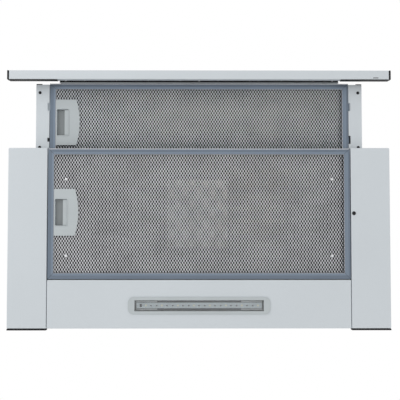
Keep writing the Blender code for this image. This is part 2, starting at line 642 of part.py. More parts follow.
def make_filter(prefix, half, span_y, level, group, tongue_reach, hooks):
    """A cassette: channel frame, mesh, pack, and a latch at its left-hand side."""
    front, back = span_y
    top = level + FILTER_THICKNESS
    inner = half - FILTER_BORDER
    centre_y = (front + back) / 2 - LATCH_SHIFT
    left = -inner + GAP
    groove = inner + GROOVE_DEPTH
    mesh_z = level + MESH_LEVEL
    pack_z = mesh_z + MESH_THICKNESS + GAP

    frame = box(f"{prefix}filter_frame", (-half, front, level), (half, back, top), FRAME, group)
    cut(frame,
        box(f"{prefix}frame_opening", (-inner, front + FILTER_BORDER, level - GAP * 5),
            (inner, back - FILTER_BORDER, top + GAP * 5), group=group),
        box(f"{prefix}frame_groove",
            (-groove, front + FILTER_BORDER - GROOVE_DEPTH, mesh_z - GAP),
            (groove, back - FILTER_BORDER + GROOVE_DEPTH, pack_z + PACK_THICKNESS + GAP),
            group=group))

    tongue_top = pack_z + PACK_THICKNESS - GAP / 2
    tongue_low = tongue_top - TONGUE_THICKNESS
    slot = TONGUE_WIDTH / 2 + GAP
    cut(frame, box(f"{prefix}tongue_slot", (-half - GAP * 5, centre_y - slot, tongue_low - GAP),
                   (left + GAP, centre_y + slot, tongue_top + GAP), group=group))
    hook_z = level + HOOK_LEVEL
    join(frame, boxes(f"{prefix}hooks", [
        ((half - HOOK_ROOT, y - HOOK_WIDTH / 2, hook_z),
         (half + HOOK_LENGTH, y + HOOK_WIDTH / 2, hook_z + HOOK_THICKNESS)) for y in hooks],
        group=group))

    tub_left = left + WINDOW_BORDER - TUB_WALL
    tub_right = left + WINDOW_BORDER + WINDOW_WIDTH + LATCH_TRAVEL + TUB_WALL + 2 * GAP
    tub_half = WINDOW_LENGTH / 2 + TUB_WALL
    tub_top = tongue_top + GAP + TUB_WALL
    edge = GROOVE_DEPTH - GAP
    mesh_low = (-inner - edge, front + FILTER_BORDER - edge, mesh_z)
    mesh_high = (inner + edge, back - FILTER_BORDER + edge, mesh_z + MESH_THICKNESS)
    mesh = box(f"{prefix}filter_mesh", mesh_low, mesh_high, MESH, group)
    pack = box(f"{prefix}filter_pack", (mesh_low[0], mesh_low[1], pack_z),
               (mesh_high[0], mesh_high[1], pack_z + PACK_THICKNESS), MESH, group)
    cut(mesh, box(f"{prefix}mesh_hole", (tub_left - GAP, centre_y - tub_half - GAP, level),
                  (tub_right + GAP, centre_y + tub_half + GAP, top), group=group))
    cut(pack, box(f"{prefix}pack_notch", (mesh_low[0] - GAP, centre_y - tub_half - GAP, level),
                  (tub_right + GAP, centre_y + tub_half + GAP, top), group=group))

    plate_z = level + MESH_LEVEL - GAP - HANDLE_PLATE
    housing = outline_plate(f"{prefix}latch_housing", [handle_outline(left, centre_y)],
                            HANDLE_PLATE, (0, 0, plate_z + HANDLE_PLATE / 2), "Z",
                            LIGHT_PLASTIC, group)
    window_left = left + WINDOW_BORDER
    block_z = mesh_z - GAP / 2
    join(housing, box(f"{prefix}latch_tub", (tub_left, centre_y - tub_half, plate_z + GAP),
                      (tub_right, centre_y + tub_half, tub_top), group=group))
    cut(housing,
        box(f"{prefix}tub_hollow", (window_left, centre_y - WINDOW_LENGTH / 2,
                                    plate_z + HANDLE_PLATE),
            (tub_right - TUB_WALL, centre_y + WINDOW_LENGTH / 2, tub_top - TUB_WALL),
            group=group),
        box(f"{prefix}finger_window", (window_left, centre_y - WINDOW_LENGTH / 2, level - CUT),
            (window_left + WINDOW_WIDTH, centre_y + WINDOW_LENGTH / 2,
             plate_z + HANDLE_PLATE + GAP), group=group),
        box(f"{prefix}tub_slot", (tub_left - CUT, centre_y - slot, tongue_low - GAP),
            (window_left + GAP, centre_y + slot, tub_top - TUB_WALL), group=group))

    grip = WINDOW_LENGTH / 2 - GAP
    block_right = window_left + WINDOW_WIDTH + GAP
    slider = box(f"{prefix}latch_slider", (block_right - LATCH_BLOCK, centre_y - grip, block_z),
                 (block_right, centre_y + grip, tongue_top), LIGHT_PLASTIC, group)
    join(slider,
         box(f"{prefix}latch_floor", (window_left + GAP, centre_y - grip + SKIN, tongue_low),
             (block_right - LATCH_BLOCK / 2, centre_y + grip - SKIN, tongue_top - SKIN),
             group=group),
         box(f"{prefix}latch_tongue",
             (tongue_reach, centre_y - TONGUE_WIDTH / 2, tongue_low + SKIN),
             (window_left + TONGUE_ROOT, centre_y + TONGUE_WIDTH / 2, tongue_top - 2 * SKIN),
             group=group))


def visor_hook_places():
    return (visor_filter_y + HOOK_SETBACK, VISOR_OVERLAP - REAR_HOOK_SETBACK)


def make_filters():
    back = rear_panel_y - SEAM
    middle = (SEAM + back) / 2
    make_filter("", opening_x - SEAM, (SEAM, back), FILTER_LEVEL, HINGE,
                -opening_x + GAP, (middle - HOOK_SPREAD, middle + HOOK_SPREAD))
    make_filter("visor_", visor_inner - GAP, (visor_filter_y, VISOR_OVERLAP), VISOR_LEVEL, VISOR,
                -visor_inner - VISOR_TONGUE_REACH, visor_hook_places())


# Pull-out visor


def make_visor_side(side, sign):
    right = [(visor_outer, VISOR_LEVEL), (visor_inner, VISOR_LEVEL), (visor_inner, visor_top),
             (visor_inner + VISOR_RETURN, visor_top)]
    profile = right if sign > 0 else mirrored(right)
    name = f"visor_{side}"
    piece = folded_sheet(name, profile, (visor_flange_y, visor_rear), "Y", SILVER, VISOR)
    join(piece, box(name + "_ear", (sign * (NECK_WIDTH / 2 + GAP), visor_flange_y + GAP,
                                    VISOR_LEVEL + FILTER_THICKNESS + GAP),
                    (sign * (visor_inner + SHEET / 2), visor_flange_y + GAP + SHEET,
                     visor_top - BEND), group=VISOR))
    slot_x = (sign * (visor_inner - GAP), sign * (visor_inner + HOOK_SLOT_DEPTH))
    for number, y in enumerate(visor_hook_places()):
        half = HOOK_WIDTH / 2 + GAP if sign > 0 or number == 0 else HOOK_WIDTH / 4
        cut(piece, box(f"{name}_slot_{number}", (slot_x[0], y - half, VISOR_LEVEL - MM),
                       (slot_x[1], y + half, VISOR_LEVEL + HOOK_LEVEL + 2 * HOOK_THICKNESS),
                       group=VISOR))
    return piece


def make_visor():
    left = make_visor_side("left", -1)
    right = make_visor_side("right", 1)
    centre_y = (visor_filter_y + VISOR_OVERLAP) / 2 - LATCH_SHIFT
    half = TONGUE_WIDTH / 2 + GAP
    cut(left, box("visor_latch_slot", (-visor_inner + GAP, centre_y - half,
                                          VISOR_LEVEL + LATCH_SLOT[0]),
                  (-visor_inner - BEND - SHEET, centre_y + half,
                   VISOR_LEVEL + LATCH_SLOT[1]), group=VISOR))
    striker_y = FASCIA_DEPTH + SWITCH_Y + STRIKER_AT - VISOR_TRAVEL
    striker_x = visor_inner + VISOR_RETURN - GAP / 2
    join(right, box("striker", (striker_x - STRIKER_WIDTH, striker_y, visor_top - SHEET / 2),
                    (striker_x, striker_y + STRIKER_LENGTH, visor_top + STRIKER_HEIGHT),
                    group=VISOR))
    make_neck()


def make_neck():
    """Narrow front channel of the visor, with a ledge for the filter, and the cover above it."""
    half = NECK_WIDTH / 2
    lip = visor_front_y + NECK_LIP
    profile = [(lip, VISOR_LEVEL), (visor_front_y, VISOR_LEVEL), (visor_front_y, visor_top),
               (lip, visor_top)]
    front = folded_sheet("visor_front", profile, (-half, half), "X", SILVER, VISOR)
    cover = box("visor_cover", (-visor_inner - VISOR_RETURN, visor_front_y, visor_top + GAP),
                (visor_inner + VISOR_RETURN, VISOR_OVERLAP, cover_top), SILVER, VISOR)
    over_filter = VISOR_LEVEL + FILTER_THICKNESS + GAP
    for side, sign in SIDES:
        join(front, box(f"neck_end_{side}", (sign * (half - SHEET), visor_front_y + SHEET / 2,
                                             over_filter),
                        (sign * (half - GAP / 4), visor_flange_y, visor_top - SHEET / 2),
                        group=VISOR))
        cut(cover, box(f"cover_corner_{side}", (sign * (half + GAP), visor_front_y - MM,
                                                visor_top),
                       (sign * casing_x, visor_flange_y, cover_top + MM), group=VISOR))


# Front strip and its controls


def button_places():
    return [button_x + (i - 1) * BUTTON_PITCH for i in range(3)]


def make_strip():
    top = STRIP_HEIGHT - STRIP_DROP
    fold = visor_front_y - GAP
    profile = [(strip_back, STRIP_RETURN - STRIP_DROP), (strip_back, -STRIP_DROP),
               (strip_front, -STRIP_DROP), (strip_front, top), (fold, top),
               (fold, top - STRIP_FOLD)]
    reach = strip_x - STRIP_CAP - GAP
    strip = folded_sheet("front_strip", profile, (-reach, reach), "X", SILVER, VISOR)
    width, height = BUTTON_WIDTH / 2 + GAP, BUTTON_HEIGHT / 2 + GAP
    for number, x in enumerate(button_places()):
        cut(strip, box(f"button_hole_{number}",
                       (x - width, strip_front - MM, BUTTON_LEVEL - height),
                       (x + width, strip_front + BEND + SHEET, BUTTON_LEVEL + height), group=VISOR))
    slot_x = button_x + CLIP_SLOT_X
    slot_y = strip_back - CLIP_SLOT_INSET
    cut(strip, box("clip_slot", (slot_x - CLIP_SLOT[0] / 2, slot_y - CLIP_SLOT[1], -STRIP_DROP - MM),
                   (slot_x + CLIP_SLOT[0] / 2, slot_y, -STRIP_DROP + BEND + SHEET), group=VISOR))
    for side, sign in SIDES:
        cap = box(f"strip_cap_{side}", (sign * (strip_x - STRIP_CAP), strip_front, -STRIP_DROP),
                  (sign * strip_x, strip_back, top), BLACK_PLASTIC, VISOR, bevel=SHEET)
        cut(cap, box(f"cap_hollow_{side}", (sign * (strip_x - STRIP_CAP - MM),
                                            strip_front + CAP_FACE, STRIP_RETURN - STRIP_DROP),
                     (sign * (strip_x + MM), strip_back + MM, top + MM), group=VISOR))
        box(f"strip_buffer_{side}",
            (sign * (reach - BUFFER_LENGTH), strip_back + GAP, -STRIP_DROP),
            (sign * reach, strip_back + GAP + BUFFER_THICKNESS, STRIP_RETURN - STRIP_DROP),
            BLACK_PLASTIC, VISOR)


def make_controls():
    inside = strip_front + SHEET + GAP
    reach = BUTTON_PITCH * 1.6
    rise = SWITCH_BLOCK_HEIGHT / 2
    block = box("switch_block", (button_x - reach, inside, BUTTON_LEVEL - rise),
                (button_x + reach, visor_front_y - SHEET - 2 * GAP, BUTTON_LEVEL + rise),
                DARK_PLASTIC, VISOR)
    width, height = BUTTON_WIDTH / 2 + GAP, BUTTON_HEIGHT / 2 + GAP
    pocket = inside + SWITCH_POCKET
    for name, x in zip(("fan_low", "fan_high", "lamp"), button_places()):
        cut(block, box(name + "_pocket", (x - width, inside - MM, BUTTON_LEVEL - height),
                       (x + width, pocket, BUTTON_LEVEL + height), group=VISOR))
        box(name + "_button",
            (x - BUTTON_WIDTH / 2, strip_front + GAP / 2, BUTTON_LEVEL - BUTTON_HEIGHT / 2),
            (x + BUTTON_WIDTH / 2, pocket - BUTTON_TRAVEL - GAP,
             BUTTON_LEVEL + BUTTON_HEIGHT / 2), BLACK_PLASTIC, VISOR, bevel=GAP)


# Slides


def make_slides():
    outer = casing_inner - GAP
    lip = outer - RAIL_DEPTH
    top = RAIL_LEVEL + RAIL_HEIGHT
    rail = [(lip, top - RAIL_LIP), (lip, top), (outer, top), (outer, RAIL_LEVEL),
            (lip, RAIL_LEVEL), (lip, RAIL_LEVEL + RAIL_LIP)]
    middle = RAIL_LEVEL + RAIL_HEIGHT / 2
    head_half = RAIL_HEIGHT / 2 - RAIL_SHEET - RUN
    head_low, head_high = lip + RAIL_SHEET + RUN, outer - RAIL_SHEET - RUN
    web = WEB_THICKNESS / 2
    foot = visor_inner + SHEET + GAP
    runner = [(foot, -web), (head_low, -web), (head_low, -head_half), (head_high, -head_half),
              (head_high, head_half), (head_low, head_half), (head_low, web), (foot, web)]
    start, end = RUNNER_START, visor_rear
    for side, sign in SIDES:
        profile = rail if sign > 0 else mirrored(rail)
        span = (casing_front_y + RAIL_ENDS[0], casing_back_y - RAIL_ENDS[1])
        folded_sheet(f"rail_{side}", profile, span,
                     "Y", GALVANISED, wall=RAIL_SHEET, bend=0)
        outline = [(sign * u, v) for u, v in runner]
        outline_plate(f"runner_{side}", [outline], end - start, (0, (start + end) / 2, middle),
                      "Y", DARK_PLASTIC, VISOR)


# Blower


def scroll_outline(shrink, top):
    """A scroll in (Y, Z) about the blower's axis, open upwards at its wide end."""
    widest = IMPELLER_RADIUS + SCROLL_WIDEST
    narrowest = IMPELLER_RADIUS + SCROLL_NARROWEST
    points = [(-widest + shrink, top)]
    turns = 27
    for i in range(turns + 1):
        angle = math.radians(180 + 270 * i / turns)
        radius = widest - (widest - narrowest) * i / turns - shrink
        points.append((radius * math.cos(angle), radius * math.sin(angle)))
    tongue = -TONGUE_DROP - shrink
    points += [(tongue, narrowest - shrink), (tongue, top)]
    return points


def make_volute(side, sign):
    start = sign * GAP
    end = sign * (GAP + VOLUTE_WIDTH)
    centre = (BLOWER_Y, blower_z)
    rise = volute_top - blower_z
    name = f"volute_{side}"
    body = outline_plate(name, [scroll_outline(0, rise)], VOLUTE_WIDTH,
                         ((start + end) / 2, *centre), "X", LIGHT_PLASTIC)
    hollow_end = end - sign * VOLUTE_WALL
    hollow = outline_plate(name + "_hollow", [scroll_outline(VOLUTE_WALL, rise + CUT)],
                           abs(hollow_end), (hollow_end / 2, *centre), "X", LIGHT_PLASTIC)
    eye = disc(name + "_eye", INTAKE_RADIUS, -CUT, CUT, (end, *centre), (1, 0, 0), steps=40)
    cut(body, hollow, eye)


def make_impeller(side, sign):
    """A drum of blades on a back plate, with its hub and shaft, drawn along +X."""
    axis_place = (0, BLOWER_Y, blower_z)
    name = f"impeller_{side}"
    back = IMPELLER_SETBACK
    front = back + IMPELLER_LENGTH
    plate = IMPELLER_PLATE
    shaft_end = GAP + VOLUTE_WIDTH + MOTOR_STANDOFF + MOTOR_PLATE + MOTOR_LENGTH - SHAFT_FREE
    profile = [(0, shaft_end), (SHAFT_RADIUS, shaft_end), (SHAFT_RADIUS, back + HUB[1]),
               (HUB[0], back + HUB[1]), (HUB[0], back + plate), (IMPELLER_RADIUS, back + plate),
               (IMPELLER_RADIUS, back), (0, back)]
    drum = turned(name, profile, axis_place, (sign, 0, 0), DARK_PLASTIC, steps=40)
    inner = IMPELLER_RADIUS - BLADE_DEPTH
    ring = [(IMPELLER_RADIUS, front), (IMPELLER_RADIUS, front - IMPELLER_RING),
            (inner, front - IMPELLER_RING), (inner, front)]
    join(drum, turned(name + "_ring", ring, axis_place, (sign, 0, 0), DARK_PLASTIC, steps=40))
    blades = bpy.data.meshes.new(name + "_blades")
    shape = bmesh.new()
    low, high = sorted((sign * (back + plate / 2), sign * (front - IMPELLER_RING / 2)))
    for i in range(BLADE_COUNT):
        angle = 2 * math.pi * i / BLADE_COUNT
        frame = (Matrix.Rotation(angle, 4, "X")
                 @ Matrix.Translation(((low + high) / 2, 0, IMPELLER_RADIUS - BLADE_DEPTH / 2))
                 @ Matrix.Rotation(math.radians(25), 4, "X")
                 @ Matrix.Diagonal((high - low, BLADE_THICKNESS, BLADE_DEPTH * 0.9, 1)))
        bmesh.ops.create_cube(shape, size=1.0, matrix=frame)
    shape.to_mesh(blades)
    shape.free()
    join(drum, file_object(name + "_blade_set", blades, axis_place, ROW, DARK_PLASTIC))


def make_motor(side, sign):
    plate_start = GAP + VOLUTE_WIDTH + MOTOR_STANDOFF
    motor_start = plate_start + MOTOR_PLATE + GAP
    bore = SHAFT_RADIUS + RUN
    round_off = MOTOR_ROUND
    far = motor_start + MOTOR_LENGTH
    profile = [(0, far), (MOTOR_RADIUS - round_off, far), (MOTOR_RADIUS, far - round_off),
               (MOTOR_RADIUS, motor_start + round_off), (MOTOR_RADIUS - round_off, motor_start),
               (bore, motor_start), (bore, far - MOTOR_END), (0, far - MOTOR_END)]
    axis_place = (0, BLOWER_Y, blower_z)
    turned(f"motor_{side}", profile, axis_place, (sign, 0, 0), GALVANISED, steps=40)
    radius = IMPELLER_RADIUS + PLATE_MARGIN
    holes = [arc((0, 0), bore + BLADE_THICKNESS * 2, 0, 350, 35)]
    for i in range(3):
        angle = math.radians(30 + 120 * i)
        hole = (PLATE_HOLE[0] * math.cos(angle), PLATE_HOLE[0] * math.sin(angle))
        holes.append(arc(hole, PLATE_HOLE[1], 0, 345, 23))
    outline = arc((0, 0), radius, 0, 350, 35)
    middle = sign * (plate_start + MOTOR_PLATE / 2)
    plate = outline_plate(f"motor_plate_{side}", [outline, *holes], MOTOR_PLATE,
                          (middle, BLOWER_Y, blower_z), "X", GALVANISED)
    legs = []
    leg_x = (sign * (GAP + VOLUTE_WIDTH + GAP), sign * (plate_start + MOTOR_PLATE / 2))
    for i in range(3):
        angle = math.radians(90 + 120 * i)
        y = BLOWER_Y + (radius - LEG_WIDTH) * math.cos(angle)
        z = blower_z + (radius - LEG_WIDTH) * math.sin(angle)
        legs.append(((leg_x[0], y - LEG_WIDTH / 2, z - LEG_WIDTH / 2),
                     (leg_x[1], y + LEG_WIDTH / 2, z + LEG_WIDTH / 2)))
    join(plate, boxes(f"motor_legs_{side}", legs))


def make_blower():
    for side, sign in SIDES:
        make_volute(side, sign)
        make_impeller(side, sign)
        make_motor(side, sign)


# Outlet collar and its dampers


def make_outlet():
    top = casing_top + OUTLET_HEIGHT
    inner = OUTLET_RADIUS - OUTLET_WALL
    profile = [(OUTLET_RADIUS, top), (OUTLET_RADIUS, collar_flange_z + OUTLET_WALL),
               (OUTLET_RADIUS + COLLAR_FLANGE, collar_flange_z + OUTLET_WALL),
               (OUTLET_RADIUS + COLLAR_FLANGE, collar_flange_z), (inner, collar_flange_z),
               (inner, top)]
    collar = turned("outlet_collar", profile, (0, outlet_y, 0), (0, 0, 1), BLACK_PLASTIC, steps=64)
    axis = (0, outlet_y, casing_top + DAMPER_HEIGHT)
    reach = OUTLET_RADIUS - OUTLET_WALL / 2
    cut(collar, disc("pin_hole", DAMPER_PIN + GAP / 2, -reach, reach, axis, (0, 1, 0), steps=16))
    disc("damper_pin", DAMPER_PIN, -reach + GAP, reach - GAP, axis, (0, 1, 0), steps=16)
    make_dampers(axis, inner - DAMPER_SPACE)


def make_dampers(axis, radius):
    root = KNUCKLE_RADIUS + RUN
    knuckle = KNUCKLE_LENGTH
    spans = [(-2.6 * knuckle, -1.6 * knuckle), (-1.5 * knuckle, -0.5 * knuckle),
             (-0.4 * knuckle, 0.4 * knuckle), (0.5 * knuckle, 1.5 * knuckle),
             (1.6 * knuckle, 2.6 * knuckle)]
    for side, sign in SIDES:
        own = spans[0::2] if sign < 0 else spans[1::2]
        spread = math.degrees(math.acos(root / radius))
        outline = [(sign * u, v) for u, v in arc((0, 0), radius, -spread, spread, 24)]
        name = f"damper_{side}"
        flap = outline_plate(name, [outline], DAMPER_THICKNESS, axis, "Z", BLACK_PLASTIC)
        tabs = [((sign * TAB_START, outlet_y + a, axis[2] - DAMPER_THICKNESS / 2),
                 (sign * (root + KNUCKLE_RADIUS), outlet_y + b, axis[2] + DAMPER_THICKNESS / 2))
                for a, b in own]
        join(flap, boxes(name + "_tabs", tabs))
        for number, (a, b) in enumerate(own):
            join(flap, disc(f"{name}_knuckle_{number}", KNUCKLE_RADIUS, a, b, axis, (0, 1, 0),
                            BLACK_PLASTIC, steps=20))
        cut(flap, disc(f"{name}_bore", DAMPER_PIN + GAP, -radius, radius, axis, (0, 1, 0),
                       steps=16))


# Electrical parts


def make_electrics():
    x, y, z = gland_place()
    low = (-casing_inner + TERMINAL_INSET[0],
           casing_back_y - SHEET - TERMINAL_INSET[1] - TERMINAL_SIZE[1],
           casing_top - SHEET - TERMINAL_INSET[2] - TERMINAL_SIZE[2])
    high = tuple(a + b for a, b in zip(low, TERMINAL_SIZE))
    terminal = tray("terminal_box", low, high, (0, 0, -1), LIGHT_PLASTIC, wall=TERMINAL_WALL)
    cut(terminal, disc("terminal_entry", TERMINAL_ENTRY, -TERMINAL_SIZE[1] / 2, 0, (x, y, z),
                       (0, 1, 0)))
    flange = GLAND_RADIUS + GLAND_FLANGE[0]
    outside = GAP + GLAND_FLANGE[1]
    nose = -SHEET - GLAND_NOSE
    profile = [(flange, outside), (flange, GAP), (GLAND_RADIUS, GAP), (GLAND_RADIUS, nose),
               (GLAND_BORE, nose), (GLAND_BORE, outside)]
    turned("cable_gland", profile, (x, y, z), (0, 1, 0), BLACK_PLASTIC, steps=32)
    low = (casing_inner - DRIVER_INSET[0] - DRIVER_SIZE[0],
           casing_back_y - DRIVER_INSET[1] - DRIVER_SIZE[1],
           casing_top - SHEET - DRIVER_INSET[2] - DRIVER_SIZE[2])
    high = tuple(a + b for a, b in zip(low, DRIVER_SIZE))
    box("lamp_driver", low, high, LIGHT_PLASTIC, bevel=BEND)
    make_micro_switch()


def make_micro_switch():
    front = FASCIA_DEPTH + SWITCH_Y
    bottom = cover_top + SWITCH_RISE
    inner = casing_inner - GAP - SWITCH_SIZE[0]
    switch = box("micro_switch", (inner, front, bottom),
                 (casing_inner - GAP, front + SWITCH_SIZE[1], bottom + SWITCH_SIZE[2]),
                 BLACK_PLASTIC, bevel=GAP)
    arm = (inner + ARM[0], inner + ARM[1])
    pivot = (sum(arm) / 2, front + PIVOT_SETBACK, bottom + PIVOT_RISE)
    cut(switch, box("lever_notch", (arm[0] - RUN, front - MM, bottom - MM),
                    (arm[1] + RUN, front + EAR_SLOT[0], bottom + EAR_SLOT[1])))
    plate_low = bottom - LEVER_DROP
    lever = box("switch_lever", (arm[0], front + LEVER_SPAN[0], plate_low),
                (arm[1], front + LEVER_SPAN[1], plate_low + LEVER_THICKNESS), STEEL, pivot=pivot)
    join(lever, box("lever_ear", (arm[0] + SKIN, front + EAR_SPAN[0], plate_low + GAP / 2),
                    (arm[1] - SKIN, front + EAR_SPAN[1], bottom + EAR_RISE)))


make_casing()
make_fascia()
make_lamp()
make_filters()
make_visor()
make_strip()
make_controls()
make_slides()
make_blower()
make_outlet()
make_electrics()
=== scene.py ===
"""Looks of a pull-out range hood: finishes, filter mesh, latches, lamp and small fasteners."""

import json
import math

import bmesh
import bpy
from mathutils import Euler, Matrix, Vector

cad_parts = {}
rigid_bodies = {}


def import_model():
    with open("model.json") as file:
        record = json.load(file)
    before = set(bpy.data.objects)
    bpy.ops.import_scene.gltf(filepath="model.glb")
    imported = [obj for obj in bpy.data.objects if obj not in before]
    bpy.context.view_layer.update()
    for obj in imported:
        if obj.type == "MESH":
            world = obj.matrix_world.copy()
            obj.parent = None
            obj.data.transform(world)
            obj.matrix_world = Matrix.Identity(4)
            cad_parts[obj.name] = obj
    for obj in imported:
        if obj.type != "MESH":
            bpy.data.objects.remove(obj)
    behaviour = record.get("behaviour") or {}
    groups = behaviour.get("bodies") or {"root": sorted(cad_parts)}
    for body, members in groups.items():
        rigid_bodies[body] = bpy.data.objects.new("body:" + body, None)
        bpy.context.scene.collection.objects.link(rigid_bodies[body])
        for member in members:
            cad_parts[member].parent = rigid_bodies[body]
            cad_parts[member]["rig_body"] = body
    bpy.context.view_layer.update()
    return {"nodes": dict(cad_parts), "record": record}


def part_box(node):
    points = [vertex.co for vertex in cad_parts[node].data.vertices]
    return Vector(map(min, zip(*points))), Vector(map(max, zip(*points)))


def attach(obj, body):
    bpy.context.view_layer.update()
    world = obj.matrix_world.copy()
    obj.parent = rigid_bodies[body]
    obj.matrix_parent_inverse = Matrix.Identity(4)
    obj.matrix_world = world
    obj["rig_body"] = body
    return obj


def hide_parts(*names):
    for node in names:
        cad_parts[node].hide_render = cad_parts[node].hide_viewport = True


bl_info = {
    "name": "Pull-out Range Hood",
    "version": (1, 0, 0),
    "blender": (4, 5, 0),
    "location": "3D View > Sidebar > Hood",
    "description": "Finishes and fine parts of an under-cabinet range hood",
    "category": "Object",
}

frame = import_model()

MM = 0.001
FRAME_BORDER = 9 * MM           # width of the channel round each filter
SUNK = 0.02 * MM                # depth that a small piece is set into its face
WELD = 1e-5                     # distance under which copied vertices are one
FLAT = math.radians(1)          # angle under which copied faces are one
BEVELLED = math.radians(35)     # angle over which an edge is rounded
SHARP = math.radians(50)        # angle over which an edge is shaded sharp
DOWN = (0, 0, -1)
SLOTS = {part["node"]: part["material_slot"] for part in frame["record"]["subparts"]}
BODIES = {node: obj["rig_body"] for node, obj in frame["nodes"].items()}
FINISHES = {}                   # each material by the name of its finish


# Settings


def colour_setting(name, description, default):
    return bpy.props.FloatVectorProperty(name=name, description=description, size=3, min=0, max=1,
                                         subtype="COLOR", default=default)


def length_setting(name, description, default):
    return bpy.props.FloatProperty(name=name, description=description, default=default,
                                   unit="LENGTH", min=0, precision=5)


class HoodColours(bpy.types.PropertyGroup):
    silver: colour_setting("Silver paint", "Paint of the fascia, visor and front strip",
                           (0.60, 0.642, 0.672))
    zinc: colour_setting("Zinc", "Zinc coat of the casing and rails", (0.56, 0.58, 0.60))
    frame: colour_setting("Filter frame", "Anodised channel round each filter",
                          (0.14, 0.172, 0.215))
    mesh: colour_setting("Filter mesh", "Bare expanded aluminium", (0.80, 0.81, 0.84))
    # Painted light: the visor mesh is the same aluminium as the fixed filter's; its own bluer,
    # brighter colour is painted to match the light on the recessed visor filter.
    visor_mesh_light_tint: colour_setting("Visor mesh", "Bluer mesh of the filter in the visor",
                               (0.88, 0.93, 1.0))
    pack: colour_setting("Filter pack", "Shaded layers behind the mesh", (0.012, 0.012, 0.013))
    grey: colour_setting("Light plastic", "Latches, lamp bezel and blower housings",
                         (0.47, 0.51, 0.525))
    dark: colour_setting("Dark plastic", "Switch block, runners and impellers",
                         (0.10, 0.10, 0.11))
    black: colour_setting("Black plastic", "End caps, buffers, buttons and collar",
                          (0.018, 0.018, 0.02))
    board: colour_setting("Lamp board", "Solder mask of the lamp board", (0.74, 0.82, 0.87))
    phosphor: colour_setting("Lamp chips", "Face of each light-emitting chip",
                             (0.78, 0.76, 0.62))


class HoodFilters(bpy.types.PropertyGroup):
    pitch: length_setting("Mesh pitch", "Width of one diamond of the face mesh", 4.3 * MM)
    row: length_setting("Mesh row", "Half the length of one diamond", 3.4 * MM)
    strand: length_setting("Strand width", "Width of a strand of the face mesh", 0.92 * MM)
    pack_pitch: length_setting("Pack pitch", "Width of one diamond of the inner layers", 5.4 * MM)
    pack_row: length_setting("Pack row", "Half the length of an inner diamond", 4.3 * MM)
    pack_strand: length_setting("Pack strand", "Width of a strand of the inner layers", 1.5 * MM)


class HoodStage(bpy.types.PropertyGroup):
    lens: bpy.props.FloatProperty(name="Lens", description="Focal length in millimetres",
                                  default=69.3, min=10)
    place: bpy.props.FloatVectorProperty(name="Camera place", description="Below the hood",
                                         size=3, subtype="TRANSLATION",
                                         default=(-0.00505, -0.08391, -1.32987))
    tilt: bpy.props.FloatVectorProperty(name="Camera tilt", description="Small turns from upright",
                                        size=3, subtype="EULER", default=(0.0457, -0.0053, -0.0001))
    floor: length_setting("Floor depth", "Floor below the camera", 0.27)
    daylight: bpy.props.FloatProperty(name="Daylight", description="Strength of the white room",
                                      default=1.0, min=0)
    key: bpy.props.FloatProperty(name="Key light", description="Power of the large soft light",
                                 default=6, min=0, unit="POWER")


# Node trees written as expressions


def arithmetic(operation):
    """A method that feeds a wire, and any value given with it, to one math node."""
    return lambda *values: values[0].board.add("ShaderNodeMath", {"operation": operation},
                                               dict(enumerate(values)))


class Wire:
    """An output socket, with the arithmetic that a number allows."""

    def __init__(self, board, socket):
        self.board = board
        self.socket = socket

    def __getitem__(self, name):
        return Wire(self.board, self.socket.node.outputs[name])

    def __rsub__(self, other):
        return self.board.add("ShaderNodeMath", {"operation": "SUBTRACT"}, {0: other, 1: self})

    __add__ = __radd__ = arithmetic("ADD")
    __sub__ = arithmetic("SUBTRACT")
    __mul__ = __rmul__ = arithmetic("MULTIPLY")
    __truediv__ = arithmetic("DIVIDE")
    __mod__ = arithmetic("FLOORED_MODULO")
    __gt__ = arithmetic("GREATER_THAN")
    __lt__ = arithmetic("LESS_THAN")
    size = arithmetic("ABSOLUTE")
    rounded = arithmetic("ROUND")
    at_most = arithmetic("MINIMUM")


class Board:
    """A node tree that nodes are added to."""

    def __init__(self, tree):
        self.tree = tree

    def add(self, kind, settings=None, values=None, output=0):
        """One node: its settings first, then the values or wires of its sockets."""
        node = self.tree.nodes.new(kind)
        for name, value in (settings or {}).items():
            if name == "stops":
                self.set_stops(node, value)
            else:
                setattr(node, name, value)
        for name, value in (values or {}).items():
            self.feed(node.inputs[name], value)
        return Wire(self, node.outputs[output]) if len(node.outputs) else None

    def axes(self, vector):
        return self.add("ShaderNodeSeparateXYZ", None, {"Vector": vector})

    def vector(self, **axes):
        return self.add("ShaderNodeCombineXYZ", None, axes)

    def parts(self, colour):
        return self.add("ShaderNodeSeparateColor", None, {"Color": colour})

    def feed(self, socket, value):
        if isinstance(value, Wire):
            self.tree.links.new(value.socket, socket)
        else:
            socket.default_value = value

    def set_stops(self, node, stops):
        elements = node.color_ramp.elements
        while len(elements) < len(stops):
            elements.new(1)
        for element, (position, level) in zip(elements, stops):
            element.position = position
            element.color = (level, level, level, 1)


